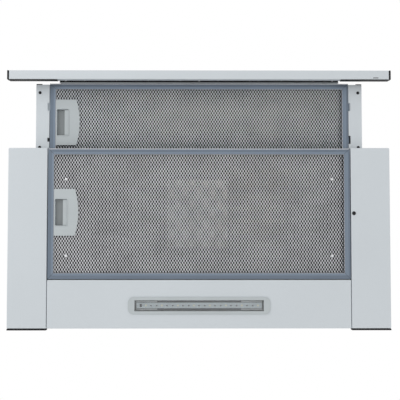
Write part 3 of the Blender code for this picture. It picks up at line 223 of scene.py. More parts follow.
class Finish(Board):
    """A material's tree round one Principled BSDF."""

    def __init__(self, name, colour, roughness, metallic=0.0, **constants):
        self.material = bpy.data.materials.new(name)
        self.material.use_nodes = True
        FINISHES[name] = self.material
        super().__init__(self.material.node_tree)
        self.shader = self.tree.nodes["Principled BSDF"]
        self.set("Base Color", (*colour, 1))
        self.set("Roughness", roughness)
        self.set("Metallic", metallic)
        for name, value in constants.items():
            self.set(name.replace("_", " ").title().replace("Ior", "IOR"), value)

    def set(self, name, value):
        self.feed(self.shader.inputs[name], value)

    def place(self, stretch=(1, 1, 1)):
        point = self.add("ShaderNodeTexCoord", output="Object")
        return self.add("ShaderNodeMapping", None, {"Vector": point, "Scale": stretch})

    def noise(self, scale, detail=2, stretch=(1, 1, 1)):
        return self.add("ShaderNodeTexNoise", None, {"Vector": self.place(stretch), "Scale": scale,
                                                     "Detail": detail})

    def cells(self, scale):
        return self.add("ShaderNodeTexVoronoi", None, {"Vector": self.place(), "Scale": scale})

    def ramp(self, value, *stops):
        return self.add("ShaderNodeValToRGB", {"stops": stops}, {0: value})

    def mix(self, share, first, second):
        return self.add("ShaderNodeMix", {"data_type": "RGBA"},
                        {0: share, 6: as_colour(first), 7: as_colour(second)}, 2)

    def bump(self, height, depth, strength=0.5):
        self.set("Normal", self.add("ShaderNodeBump", None, {
            "Height": height, "Distance": depth, "Strength": strength}))


def as_colour(value):
    return value if isinstance(value, Wire) else (*value[:3], 1)


def shade(colour, factor):
    return tuple(min(1.0, part * factor) for part in colour)


# Finishes


def silver_paint(colour):
    """Satin metallic paint: fine flake, faint orange peel and slow drifts in tone."""
    paint = Finish("silver_paint", colour, 0.36, 0.35, coat_weight=0.15, coat_roughness=0.25)
    drift = paint.noise(7, 3)
    fleck = paint.parts(paint.cells(2400)["Color"])
    tone = paint.mix(drift, shade(colour, 0.965), shade(colour, 1.035))
    sparkle = paint.mix(fleck * 0.16, tone, shade(colour, 1.22))
    paint.set("Base Color", paint.mix((paint.noise(260, 4) > 0.69) * 0.10, sparkle,
                                      shade(colour, 0.72)))
    paint.set("Roughness", 0.33 + drift * 0.08 + fleck * 0.06)
    paint.bump(paint.noise(420, 2) + fleck * 0.25, 0.00006, 0.35)


def galvanised_steel(colour):
    """Zinc coat with spangle, rolling lines and dull blotches."""
    zinc = Finish("galvanised_steel", colour, 0.42, 0.85)
    spangle = zinc.parts(zinc.cells(95)["Color"])
    rolled = zinc.noise(900, 2, (1, 0.02, 1))
    blotch = zinc.noise(14, 4)
    tone = zinc.mix(spangle, shade(colour, 0.86), shade(colour, 1.12))
    zinc.set("Base Color", zinc.mix(zinc.ramp(blotch, (0.45, 0), (0.75, 0.35)), tone,
                                    shade(colour, 0.7)))
    zinc.set("Roughness", 0.34 + spangle * 0.16 + blotch * 0.12)
    zinc.bump(spangle * 0.3 + rolled * 0.4, 0.00005, 0.4)


def anodised_frame(name, colour, node):
    """Brushed slate-grey channel whose grain follows each side of the frame to its mitres, with a
    painted highlight along its folded inner lip.
    """
    low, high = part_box(node)
    centre, half = (low + high) / 2, (high - low) / 2
    metal = Finish(name, colour, 0.36, 0.75)
    point = metal.axes(metal.place())
    to_side = half.x - (point["X"] - centre.x).size()
    to_end = half.y - (point["Y"] - centre.y).size()
    on_side = to_side < to_end
    along = metal.noise(1500, 2, (0.012, 1, 1))
    across = metal.noise(1500, 2, (1, 0.012, 1))
    grain = along + on_side * (across - along)
    drift = metal.noise(11, 3)
    # Painted highlight: the channel is painted lighter towards its inner lip, standing in for light
    # catching the folded edge.
    painted_lip_highlight = metal.ramp(to_side.at_most(to_end) / FRAME_BORDER,
                         (0, 0), (0.12, 0.3), (0.55, 0.2), (0.7, 0.9), (1, 0.7))
    tone = metal.mix(grain, shade(colour, 0.78), shade(colour, 1.25))
    worn = metal.mix(metal.ramp(drift, (0.35, 0), (0.8, 0.4)), tone, shade(colour, 1.4))
    metal.set("Base Color", metal.mix(painted_lip_highlight, worn, shade(colour, 1.6)))
    metal.set("Roughness", 0.30 + grain * 0.14)
    metal.bump(grain, 0.00004, 0.35)
    FINISHES[node] = metal.material


def filter_metal(name, colour, metallic=0.9, gloss=0.5):
    """Bare aluminium strands: bright faces, small scratches and patches of grey film."""
    metal = Finish(name, colour, 0.3, metallic)
    metal.set("Specular IOR Level", gloss)
    film = metal.noise(34, 4)
    fine = metal.noise(1300, 2)
    tone = metal.mix(fine, shade(colour, 0.8), shade(colour, 1.2))
    metal.set("Base Color", metal.mix(metal.ramp(film, (0.4, 0), (0.7, 0.45)), tone,
                                      shade(colour, 0.68)))
    metal.set("Roughness", 0.24 + fine * 0.2)
    metal.bump(fine, 0.00005, 0.4)


def moulded(name, colour, roughness, grain=900, gloss=0.5):
    """Moulded plastic: spark-eroded grain, slow drift in tone and rubbed patches."""
    plastic = Finish(name, colour, roughness, 0.0)
    plastic.set("Specular IOR Level", gloss)
    drift = plastic.noise(23, 3)
    pebble = plastic.cells(grain)["Distance"]
    rubbed = plastic.ramp(plastic.noise(60, 4), (0.5, 0), (0.72, 1))
    tone = plastic.mix(drift, shade(colour, 0.92), shade(colour, 1.08))
    plastic.set("Base Color", plastic.mix(pebble * 0.2, tone, shade(colour, 0.85)))
    plastic.set("Roughness", roughness + pebble * 0.12 - rubbed * 0.08)
    plastic.bump(pebble + plastic.noise(grain * 1.7, 2) * 0.5, 0.00005, 0.4)


def clear_plastic():
    """Lamp window: clear sheet with shallow lengthwise flutes and faint haze."""
    window = Finish("clear_plastic", (0.93, 0.95, 0.96), 0.08, 0.0, ior=1.49,
                    transmission_weight=0.96)
    flute = window.add("ShaderNodeTexWave", {"bands_direction": "Y", "wave_profile": "SIN"},
                       {"Vector": window.place(), "Scale": 160})
    haze = window.noise(70, 3)
    window.set("Base Color", window.mix(haze, (0.88, 0.90, 0.91), (0.97, 0.98, 0.98)))
    window.set("Roughness", 0.05 + haze * 0.08)
    window.bump(flute, 0.00002, 0.15)


def board_finish(colour):
    """Lamp board: solder mask over wide tracks, with a cut between them."""
    board = Finish("white_board", colour, 0.45)
    point = board.axes(board.place())
    low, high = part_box("lamp_board")
    from_middle = (point["Y"] - (low.y + high.y) / 2).size()
    track = (from_middle > 0.0011) * (from_middle < 0.0034)
    speck = board.noise(700, 3)
    tone = board.mix(speck, shade(colour, 0.93), shade(colour, 1.07))
    board.set("Base Color", board.mix(track * 0.35, tone, shade(colour, 1.25)))
    board.set("Roughness", 0.38 + speck * 0.15)
    board.bump(track, 0.00004, 0.5)


def bright_steel():
    """Plated steel: turned rings lost in fine scratches, with a few dull spots."""
    steel = Finish("bright_steel", (0.72, 0.73, 0.75), 0.24, 1.0)
    scratch = steel.noise(1400, 3, (1, 1, 0.06))
    dull = steel.ramp(steel.noise(150, 3), (0.55, 0), (0.7, 1))
    steel.set("Base Color", steel.mix(dull * 0.5, (0.76, 0.77, 0.79), (0.52, 0.53, 0.55)))
    steel.set("Roughness", 0.2 + scratch * 0.14 + dull * 0.15)
    steel.bump(scratch, 0.00003, 0.4)


def chip_face(colour):
    """Light-emitting chips: pale phosphor."""
    # Painted glow: the chips of the unlit lamp are given a faint emission.
    chip = Finish("lamp_chip_face", colour, 0.35, emission_strength=0.35)
    grain = chip.noise(2600, 2)
    tone = chip.mix(grain, shade(colour, 0.9), shade(colour, 1.1))
    chip.set("Base Color", tone)
    chip.set("Emission Color", tone)
    chip.set("Roughness", 0.28 + grain * 0.2)
    chip.bump(grain, 0.00002, 0.4)


def make_finishes():
    colours = bpy.context.scene.hood_colours
    silver_paint(colours.silver)
    galvanised_steel(colours.zinc)
    anodised_frame("anodised_frame", colours.frame, "filter_frame")
    anodised_frame("anodised_visor_frame", colours.frame, "visor_filter_frame")
    filter_metal("filter_mesh_metal", colours.mesh)
    # Painted light: the visor's mesh gets a separately tinted copy of the mesh finish.
    filter_metal("visor_mesh_metal", colours.visor_mesh_light_tint)
    # Painted shade: the pack's aluminium is coloured near black, standing in for the shade deep
    # inside the filter.
    filter_metal("filter_pack_painted_shade", colours.pack, 0, 0.04)
    filter_metal("foil_patch", shade(colours.mesh, 0.26), 0.3, 0.2)
    filter_metal("hem_metal", shade(colours.mesh, 0.55))
    moulded("light_grey_plastic", colours.grey, 0.42)
    # Painted shade: a darker copy of the light plastic, for the floor of the latch recesses.
    moulded("recess_painted_shade", shade(colours.grey, 0.5), 0.5)
    moulded("dark_grey_plastic", colours.dark, 0.5, gloss=0.3)
    moulded("black_plastic", colours.black, 0.5, gloss=0.15)
    moulded("slate_sheet", (0.105, 0.125, 0.14), 0.4, 1500)
    moulded("printed_white", (0.75, 0.76, 0.76), 0.5, 2500)
    clear_plastic()
    board_finish(colours.board)
    bright_steel()
    chip_face(colours.phosphor)


# Shared ways of making a piece


def sides(prefix):
    """For a left and a right piece: side, sign, corners of the box and x of the outer face."""
    for side, sign in (("left", -1), ("right", 1)):
        low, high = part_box(prefix + side)
        yield side, sign, low, high, low.x if sign < 0 else high.x


def settle(obj, finish, body, slot=None, *nodes):
    """Gives a piece its material, body and the nodes it replaces; the slot argument is not used."""
    obj.data.materials.clear()
    obj.data.materials.append(FINISHES[finish])
    if nodes:
        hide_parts(*nodes)
    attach(obj, body)
    return obj


def shown_mesh(obj):
    """The mesh of an object with its modifiers or bevel applied."""
    graph = bpy.context.evaluated_depsgraph_get()
    return bpy.data.meshes.new_from_object(obj.evaluated_get(graph))


def plain(obj):
    """Turns an object's modifiers into its mesh."""
    mesh = shown_mesh(obj)
    obj.modifiers.clear()
    obj.data = mesh
    return obj


def place_object(name, mesh):
    obj = bpy.data.objects.new(name, mesh)
    bpy.context.scene.collection.objects.link(obj)
    return obj


def place_shape(name, shape):
    """The object of a bmesh, which is used up."""
    mesh = bpy.data.meshes.new(name)
    shape.to_mesh(mesh)
    shape.free()
    return place_object(name, mesh)


def smoothed(mesh):
    """The mesh shaded smooth between its sharp edges."""
    mesh.shade_smooth()
    mesh.set_sharp_from_angle(angle=SHARP)
    return mesh


def rounded(obj, width, segments=2):
    """Rounds the sharp edges of an object and shades it smooth between them."""
    bevel = obj.modifiers.new("edges", "BEVEL")
    bevel.width = width
    bevel.segments = segments
    bevel.limit_method = "ANGLE"
    bevel.angle_limit = BEVELLED
    plain(obj)
    smoothed(obj.data)
    flat = obj.modifiers.new("flat_faces", "WEIGHTED_NORMAL")
    flat.keep_sharp = True
    flat.weight = 100
    return plain(obj)


def block(name, low, high, round_by, segments=2):
    """A block with rounded edges between two corners."""
    shape = bmesh.new()
    bmesh.ops.create_cube(shape, size=1)
    low, high = Vector(low), Vector(high)
    bmesh.ops.scale(shape, vec=high - low, verts=shape.verts)
    bmesh.ops.translate(shape, vec=(low + high) / 2, verts=shape.verts)
    return rounded(place_shape(name, shape), round_by, segments)


def merged(name, pieces):
    """One object from several."""
    shape = bmesh.new()
    for piece in pieces:
        shape.from_mesh(piece.data)
        bpy.data.objects.remove(piece)
    obj = place_shape(name, shape)
    smoothed(obj.data)
    return obj


def softened(node, width, finish=None, segments=2, windowed=False):
    """A copy of a CAD piece with rounded edges, shown in its stead; windowed faces have holes."""
    shape = bmesh.new()
    shape.from_mesh(frame["nodes"][node].data)
    bmesh.ops.remove_doubles(shape, verts=shape.verts, dist=WELD)
    bmesh.ops.dissolve_limit(shape, angle_limit=FLAT, verts=shape.verts, edges=shape.edges)
    if windowed:
        bmesh.ops.triangulate(shape, faces=shape.faces)
    obj = rounded(place_shape(node + "_shown", shape), width, segments)
    return settle(obj, finish or SLOTS[node], BODIES[node], SLOTS[node], node)


def new_tree(name, **kinds):
    """A geometry tree with named inputs of each kind, its board, and the wires of the inputs."""
    group = bpy.data.node_groups.new(name, "GeometryNodeTree")
    group.interface.new_socket("Geometry", in_out="OUTPUT", socket_type="NodeSocketGeometry")
    for kind, labels in kinds.items():
        for label in labels:
            group.interface.new_socket(label, in_out="INPUT", socket_type="NodeSocket" + kind)
    board = Board(group)
    return group, board, board.add("NodeGroupInput")


def end_tree(board, geometry, finish):
    real = board.add("GeometryNodeRealizeInstances", None, {"Geometry": geometry})
    painted = board.add("GeometryNodeSetMaterial", None, {"Geometry": real, "Material": finish})
    board.add("NodeGroupOutput", None, {"Geometry": painted})


def grown(name, group, values, mesh=None):
    """The plain object that a geometry tree makes from its inputs."""
    obj = bpy.data.objects.new(name, mesh or bpy.data.meshes.new(name))
    tree = obj.modifiers.new(group.name, "NODES")
    tree.node_group = group
    for item in group.interface.items_tree:
        if item.in_out == "INPUT" and item.name in values:
            tree[item.identifier] = values[item.name]
    bpy.context.scene.collection.objects.link(obj)
    return plain(obj)


def copies_tree():
    """A copy of one piece at each point."""
    group, board, inputs = new_tree("copies_at_points", Geometry=["Points"], Object=["Piece"],
                                    Material=["Finish"])
    piece = board.add("GeometryNodeObjectInfo", None, {"Object": inputs["Piece"],
                                                       "As Instance": True}, "Geometry")
    spread = board.add("GeometryNodeInstanceOnPoints", None, {"Points": inputs["Points"],
                                                              "Instance": piece})
    end_tree(board, spread, inputs["Finish"])
    return group


def copies(name, piece, points, finish, body, slot=None):
    """Copies of a piece at points, as one mesh; the piece itself is used up."""
    mesh = bpy.data.meshes.new(name)
    mesh.from_pydata([tuple(point) for point in points], [], [])
    group = bpy.data.node_groups.get("copies_at_points") or copies_tree()
    obj = grown(name, group, {"Piece": piece, "Finish": FINISHES[finish]}, mesh)
    bpy.data.objects.remove(piece)
    smoothed(obj.data)
    return settle(obj, finish, body, slot)


def screw_head(radius, height, outward, crossed=True):
    """A domed head at the origin, with a cross recess or as a plain rivet."""
    steps = 16
    rings = [(1, 1, 0), (1, 1, 0.35), (0.93, 0.93, 0.65), (0.74, 0.74, 0.9), (0.56, 0.56, 1)]
    if crossed:
        rings += [(0.46, 0.17, 1), (0.34, 0.12, 0.5)]
    shape = bmesh.new()
    loops = []
    for at_arm, between, level in rings:
        loop = []
        for i in range(steps):
            angle = math.tau * i / steps
            reach = radius * (between if i % (steps // 4) else at_arm)
            loop.append(shape.verts.new((reach * math.cos(angle), reach * math.sin(angle),
                                         height * level)))
        loops.append(loop)
    for lower, upper in zip(loops, loops[1:]):
        for i in range(steps):
            j = (i + 1) % steps
            shape.faces.new((lower[i], lower[j], upper[j], upper[i]))
    shape.faces.new(loops[-1])
    shape.faces.new(loops[0][::-1])
    turn = Vector((0, 0, 1)).rotation_difference(Vector(outward)).to_matrix()
    bmesh.ops.transform(shape, matrix=turn.to_4x4(), verts=shape.verts)
    return place_shape("screw_head", shape)


def ring_points(centre, radius, count, start=0):
    """Places round a circle, as x and y."""
    return [(centre.x + radius * math.cos(math.tau * i / count + start),
             centre.y + radius * math.sin(math.tau * i / count + start)) for i in range(count)]


def rod_loop(name, points, radius, closed=True):
    """A thin rounded rod along a line of points."""
    curve = bpy.data.curves.new(name, "CURVE")
    curve.dimensions = "3D"
    curve.bevel_depth = radius
    curve.bevel_resolution = 2
    spline = curve.splines.new("POLY")
    spline.points.add(len(points) - 1)
    for target, point in zip(spline.points, points):
        target.co = (*point, 1)
    spline.use_cyclic_u = closed
    curve.use_fill_caps = not closed
    wire = place_object(name, curve)
    mesh = shown_mesh(wire)
    bpy.data.objects.remove(wire)
    return place_object(name, smoothed(mesh))


def mesh_tree():
    """Expanded metal: rows of diamonds made of leaning strands, with one opening left out."""
    group, board, inputs = new_tree(
        "expanded_metal", Float=["Width", "Depth", "Pitch", "Row", "Strand", "Gauge", "Lean",
                                 "Wave", "Seed"],
        Vector=["Centre", "Opening", "Opening Size"], Material=["Finish"])
    pitch, row = inputs["Pitch"], inputs["Row"]
    columns = (inputs["Width"] / pitch).rounded() - 1
    rows = (inputs["Depth"] / row).rounded() - 1
    grid = board.add("GeometryNodeMeshGrid", None, {
        "Size X": (columns - 1) * pitch, "Size Y": (rows - 1) * row,
        "Vertices X": columns, "Vertices Y": rows}, "Mesh")
    spot = board.add("GeometryNodeInputPosition")
    point = board.axes(spot)
    odd = (point["Y"] / row + rows * 0.5 - 0.5).rounded() % 2
    ripple, drift = (board.add("ShaderNodeTexNoise", {"noise_dimensions": "4D"}, {
        "Vector": spot, "W": seed, "Scale": scale, "Detail": 1})
        for seed, scale in ((inputs["Seed"], 45), (inputs["Seed"] + 5, 14)))
    shift = board.vector(X=odd * pitch * 0.5 + (drift - 0.5) * inputs["Wave"] * 3,
                         Y=(ripple - 0.5) * inputs["Wave"] * 2,
                         Z=(ripple - 0.5) * inputs["Wave"])
    shifted = board.add("GeometryNodeSetPosition", None, {"Geometry": grid, "Offset": shift})
    opening = board.axes(inputs["Opening"])
    size = board.axes(inputs["Opening Size"])
    inside = (((point["X"] - opening["X"]).size() < size["X"] * 0.5)
              * ((point["Y"] - opening["Y"]).size() < size["Y"] * 0.5))
    kept = board.add("GeometryNodeDeleteGeometry", {"domain": "POINT"},
                     {"Geometry": shifted, "Selection": inside})

    half = pitch * 0.5
    length = board.add("ShaderNodeMath", {"operation": "SQRT"}, {0: half * half + row * row})
    angle = board.add("ShaderNodeMath", {"operation": "ARCTAN2"}, {0: row, 1: half})
    bar = board.add("GeometryNodeMeshCylinder", None, {
        "Vertices": 3, "Radius": 0.5, "Depth": 1}, "Mesh")
    flat = board.add("GeometryNodeTransform", None, {
        "Geometry": bar,
        "Rotation": board.vector(Z=inputs["Lean"]),
        "Scale": board.vector(X=inputs["Gauge"] * 1.333, Y=inputs["Strand"] * 1.155,
                              Z=length * 1.05)})
    pair = board.add("GeometryNodeJoinGeometry")
    for turn, offset in ((angle, half * -0.5), (math.pi - angle, half * 0.5)):
        strand = board.add("GeometryNodeTransform", None, {
            "Geometry": flat,
            "Rotation": board.vector(Y=math.pi / 2, Z=turn),
            "Translation": board.vector(X=offset, Y=row * 0.5)})
        board.feed(pair.socket.node.inputs[0], strand)
    knot = board.add("GeometryNodeTransform", None, {
        "Geometry": bar, "Rotation": (0, math.pi / 2, 0),
        "Scale": board.vector(X=inputs["Gauge"] * 1.333, Y=inputs["Strand"] * 1.6,
                              Z=pitch * 0.44),
        "Translation": board.vector(Y=row)})
    board.feed(pair.socket.node.inputs[0], knot)
    spread = board.add("GeometryNodeInstanceOnPoints", None, {"Points": kept, "Instance": pair})
    moved = board.add("GeometryNodeTransform", None, {
        "Geometry": spread, "Translation": inputs["Centre"]})
    end_tree(board, moved, inputs["Finish"])
    return group


def opening_of(node):
    """Centre and size of the hole or notch in a CAD sheet, from its vertices."""
    low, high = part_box(node)
    inner = [vert.co for vert in frame["nodes"][node].data.vertices
             if low.y + MM < vert.co.y < high.y - MM]
    first = Vector((min(co.x for co in inner), min(co.y for co in inner), low.z))
    last = Vector((max(co.x for co in inner), max(co.y for co in inner), low.z))
    return (first + last) / 2, last - first


def expanded_metal(name, node, pitch, row, strand, gauge, level, seed, finish, wave, lean=0.3):
    """A sheet of strands in the place of a CAD sheet; level is its share of the thickness."""
    low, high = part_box(node)
    hole, hole_size = opening_of(node)
    centre = (low + high) / 2
    centre.z = low.z + (high.z - low.z) * level
    group = bpy.data.node_groups.get("expanded_metal") or mesh_tree()
    return grown(name, group, {
        "Width": high.x - low.x, "Depth": high.y - low.y, "Pitch": pitch, "Row": row,
        "Strand": strand, "Gauge": gauge, "Lean": lean, "Wave": wave, "Seed": seed,
        "Centre": centre, "Opening": hole - centre,
        "Opening Size": hole_size + Vector((pitch, 2 * row, 0)), "Finish": FINISHES[finish]})


# Operators


FILTERS = (("", "grease_filter"), ("visor_", "visor"))
SHEET_PIECES = {
    0.3 * MM: ("side_trim_left", "side_trim_right", "rear_panel", "visor_left", "visor_right",
               "visor_front", "visor_cover", "front_strip", "casing_left", "casing_right",
               "casing_back", "casing_front", "casing_top"),
    0.35 * MM: ("lamp_bezel", "trim_cap_left", "trim_cap_right", "switch_block",
                "fan_low_button", "fan_high_button", "lamp_button"),
}


class HOOD_OT_stage(bpy.types.Operator):
    """Camera below the hood, white room, soft key light and pale floor"""

    bl_idname = "hood.stage"
    bl_label = "Stage"

    key_size = 0.9
    key_place = Vector((-1.3, -1.1, -1.0))
    key_aim = Vector((0, -0.1, -0.1))
    floor_reach = 4

    def execute(self, context):
        stage = context.scene.hood_stage
        camera = bpy.data.objects.new("camera", bpy.data.cameras.new("camera"))
        context.scene.collection.objects.link(camera)
        context.scene.camera = camera
        camera.data.lens = stage.lens
        camera.data.clip_end = 20
        camera.matrix_world = (Matrix.Translation(stage.place) @ Matrix.Rotation(math.pi, 4, "X")
                               @ Euler(stage.tilt).to_matrix().to_4x4())
        context.scene.view_settings.view_transform = "Standard"

        world = bpy.data.worlds.new("white_room")
        world.use_nodes = True
        room = world.node_tree.nodes["Background"]
        room.inputs["Color"].default_value = (1, 1, 1, 1)
        room.inputs["Strength"].default_value = stage.daylight
        context.scene.world = world

        lamp = bpy.data.lights.new("key_light", "AREA")
        lamp.energy = stage.key
        lamp.size = self.key_size
        key = bpy.data.objects.new("key_light", lamp)
        context.scene.collection.objects.link(key)
        key.location = self.key_place
        aim = self.key_aim - self.key_place
        key.rotation_euler = aim.to_track_quat("-Z", "Y").to_euler()

        shape = bmesh.new()
        bmesh.ops.create_grid(shape, x_segments=1, y_segments=1, size=self.floor_reach)
        level = stage.place[2] - stage.floor
        bmesh.ops.translate(shape, vec=(0, 0, level), verts=shape.verts)
        floor = place_shape("floor", shape)
        pale = Finish("pale_floor", (0.86, 0.86, 0.86), 0.7)
        pale.set("Base Color", pale.mix(pale.noise(3, 3), (0.84, 0.84, 0.84), (0.88, 0.88, 0.88)))
        floor.data.materials.append(pale.material)
        return {"FINISHED"}


class HOOD_OT_finishes(bpy.types.Operator):
    """Makes every finish and gives one to each piece that is kept from the frame"""

    bl_idname = "hood.finishes"
    bl_label = "Finishes"

    def execute(self, context):
        make_finishes()
        for node, obj in frame["nodes"].items():
            finish = FINISHES.get(node) or FINISHES[SLOTS[node]]
            if obj.material_slots:
                obj.material_slots[0].material = finish
            else:
                obj.data.materials.append(finish)
        return {"FINISHED"}


class HOOD_OT_sheet_metal(bpy.types.Operator):
    """Folded sheets, bezel, caps and buttons with rounded edges"""

    bl_idname = "hood.sheet_metal"
    bl_label = "Sheet metal"

    def execute(self, context):
        for width, nodes in SHEET_PIECES.items():
            for node in nodes:
                softened(node, width)
        return {"FINISHED"}


class HOOD_OT_filter_mesh(bpy.types.Operator):
    """Expanded aluminium faces of both filters"""

    bl_idname = "hood.filter_mesh"
    bl_label = "Filter mesh"

    gauge = 0.5 * MM
    wave = 0.03 * MM

    def execute(self, context):
        sizes = context.scene.hood_filters
        for seed, (prefix, body) in enumerate(FILTERS):
            node = prefix + "filter_mesh"
            finish = "visor_mesh_metal" if prefix else "filter_mesh_metal"
            face = expanded_metal(prefix + "face_mesh", node, sizes.pitch, sizes.row,
                                  sizes.strand, self.gauge, 0.5, seed, finish, self.wave)
            settle(face, finish, body, SLOTS[node], node)
        return {"FINISHED"}


class HOOD_OT_filter_pack(bpy.types.Operator):
    """Two coarser layers, the first near black as painted shade, and a dark core of painted shade
    behind each filter face, and a foil in the fixed one
    """

    bl_idname = "hood.filter_pack"
    bl_label = "Filter pack"

    gauge = 0.8 * MM
    wave = 0.5 * MM
    swell = 0.13
    leans = (0.7, -0.7)
    depth = 0.6 * MM
    foil_left = 0.22
    foil_right = 0.19
    foil_reach = 53 * MM
    foil_thickness = 0.3 * MM

    def add_painted_shade_core(self, prefix, body):
        """Painted shade of the crowded middle layers of the pack: one dark sheet in the shape of
        the pack.
        """
        node = prefix + "filter_pack"
        low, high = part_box(node)
        shape = bmesh.new()
        shape.from_mesh(frame["nodes"][node].data)
        bmesh.ops.remove_doubles(shape, verts=shape.verts, dist=WELD)
        for vert in shape.verts:
            share = (vert.co.z - low.z) / (high.z - low.z)
            vert.co.z = (low.z + high.z) / 2 + self.depth * (1 + share)
        sheet = place_shape(prefix + "pack_depths", shape)
        settle(sheet, "filter_pack_painted_shade", body, SLOTS[node])

    def execute(self, context):
        sizes = context.scene.hood_filters
        for seed, (prefix, body) in enumerate(FILTERS):
            node = prefix + "filter_pack"
            layers = ((0.25, "filter_pack_painted_shade", [node]), (0.86, "filter_mesh_metal", []))
            for layer, (level, finish, stands_for) in enumerate(layers):
                swell = 1 + self.swell * layer
                piece = expanded_metal(f"{prefix}pack_layer_{layer + 1}", node,
                                       sizes.pack_pitch * swell, sizes.pack_row * swell,
                                       sizes.pack_strand, self.gauge, level,
                                       seed + 2 + layer, finish, self.wave,
                                       self.leans[layer])
                settle(piece, finish, body, SLOTS[node], *stands_for)
            self.add_painted_shade_core(prefix, body)
        low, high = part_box("filter_pack")
        middle = (low + high) / 2
        foil = block("filter_foil", (low.x * self.foil_left, middle.y - self.foil_reach, middle.z),
                     (high.x * self.foil_right, middle.y + self.foil_reach,
                      middle.z + self.foil_thickness), 0.1 * MM)
        settle(foil, "foil_patch", "grease_filter", SLOTS["filter_pack"])
        return {"FINISHED"}


class HOOD_OT_filter_frames(bpy.types.Operator):
    """Rounded filter frames with a bright inner hem, mitre gaps and mesh rivets"""

    bl_idname = "hood.filter_frames"
    bl_label = "Filter frames"

    hem_radius = 0.7 * MM
    lip_radius = 0.6 * MM
    lip_inset = 1.2 * MM
    mitre_radius = 0.16 * MM
    rivet_inset = 28 * MM
    rivet_front = 48 * MM
    rivet_back = 36 * MM
    rivet_size = (2.2 * MM, 0.7 * MM)

    def execute(self, context):
        for prefix, body in FILTERS:
            node = prefix + "filter_frame"
            softened(node, 0.5 * MM, node, 3)
            low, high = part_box(node)
            mesh_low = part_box(prefix + "filter_mesh")[0]
            reach = min(high.x, -low.x)
            inner = [(sx * (reach - FRAME_BORDER), y, low.z + self.hem_radius)
                     for sx, y in ((-1, low.y + FRAME_BORDER), (1, low.y + FRAME_BORDER),
                                   (1, high.y - FRAME_BORDER), (-1, high.y - FRAME_BORDER))]
            hem = rod_loop(prefix + "filter_hem", inner, self.hem_radius)
            settle(hem, "hem_metal", body, SLOTS[prefix + "filter_mesh"])
            lip = [(sx * (reach - self.lip_inset), low.y + self.hem_radius,
                    low.z + self.lip_radius / 2) for sx in (-1, 1)]
            settle(rod_loop(prefix + "filter_lip", lip, self.lip_radius, closed=False),
                   "filter_mesh_metal", body, SLOTS[prefix + "filter_mesh"])
            gaps = []
            for sx in (-1, 1):
                for y, inward in ((low.y, 1), (high.y, -1)):
                    start = (sx * reach, y, low.z)
                    end = (sx * (reach - FRAME_BORDER), y + inward * FRAME_BORDER, low.z)
                    gaps.append(rod_loop("mitre", [start, end], self.mitre_radius,
                                         closed=False))
            settle(merged(prefix + "filter_mitres", gaps), "black_plastic", body, SLOTS[node])
            if not prefix:
                face = mesh_low.z + 0.05 * MM
                points = [(sx * (reach - self.rivet_inset), y, face) for sx in (-1, 1)
                          for y in (low.y + self.rivet_front, high.y - self.rivet_back)]
                copies("filter_rivets", screw_head(*self.rivet_size, DOWN, False), points,
                       "bright_steel", body)
        return {"FINISHED"}


class HOOD_OT_latches(bpy.types.Operator):
    """Latch housings with a raised window border, their sliders, and a dark plate of painted shade
    in each window
    """

    bl_idname = "hood.latches"
    bl_label = "Latches"

    side_border = 1.9 * MM
    play = 0.4 * MM
    corner = 2.2 * MM
    rim_spread = 0.8 * MM
    rim_radius = 0.75 * MM
    rim_rise = 0.15 * MM
    shade_plate_height = 0.3 * MM
    shade_plate_gap = 0.2 * MM

    def execute(self, context):
        for prefix, body in FILTERS:
            softened(prefix + "latch_housing", 0.4 * MM, segments=3, windowed=True)
            softened(prefix + "latch_slider", 0.45 * MM, segments=3)
            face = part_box(prefix + "latch_housing")[0]
            grip_low, grip_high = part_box(prefix + "latch_slider")
            left, right = face.x + self.side_border, grip_high.x - self.play
            front, back = grip_low.y - self.play, grip_high.y + self.play
            inset = self.corner - self.rim_spread
            points = []
            for quarter, (x, y) in enumerate(((right - inset, back - inset),
                                              (left + inset, back - inset),
                                              (left + inset, front + inset),
                                              (right - inset, front + inset))):
                for step in range(5):
                    turn = math.pi / 2 * (quarter + step / 4)
                    points.append((x + self.corner * math.cos(turn),
                                   y + self.corner * math.sin(turn), face.z + self.rim_rise))
            rim = rod_loop(prefix + "latch_window_rim", points, self.rim_radius)
            rim.data.shade_smooth()
            settle(rim, "light_grey_plastic", body, SLOTS[prefix + "latch_housing"])
            points = [vert.co for vert in frame["nodes"][prefix + "latch_slider"].data.vertices]
            grip = min(co.x for co in points if co.z < grip_low.z + 0.1 * MM)
            floor = min(co.z for co in points if co.x < grip - MM)
            # Painted shade: a dark plate on the floor of each latch window stands in for the shade
            # in the finger recess.
            shade_plate = block(prefix + "latch_well",
                         (left + self.play, front + self.play, floor - self.shade_plate_height),
                         (grip - self.shade_plate_gap, back - self.play, floor + SUNK), 0.08 * MM)
            settle(shade_plate, "recess_painted_shade", BODIES[prefix + "latch_slider"],
                   SLOTS[prefix + "latch_slider"])
        return {"FINISHED"}


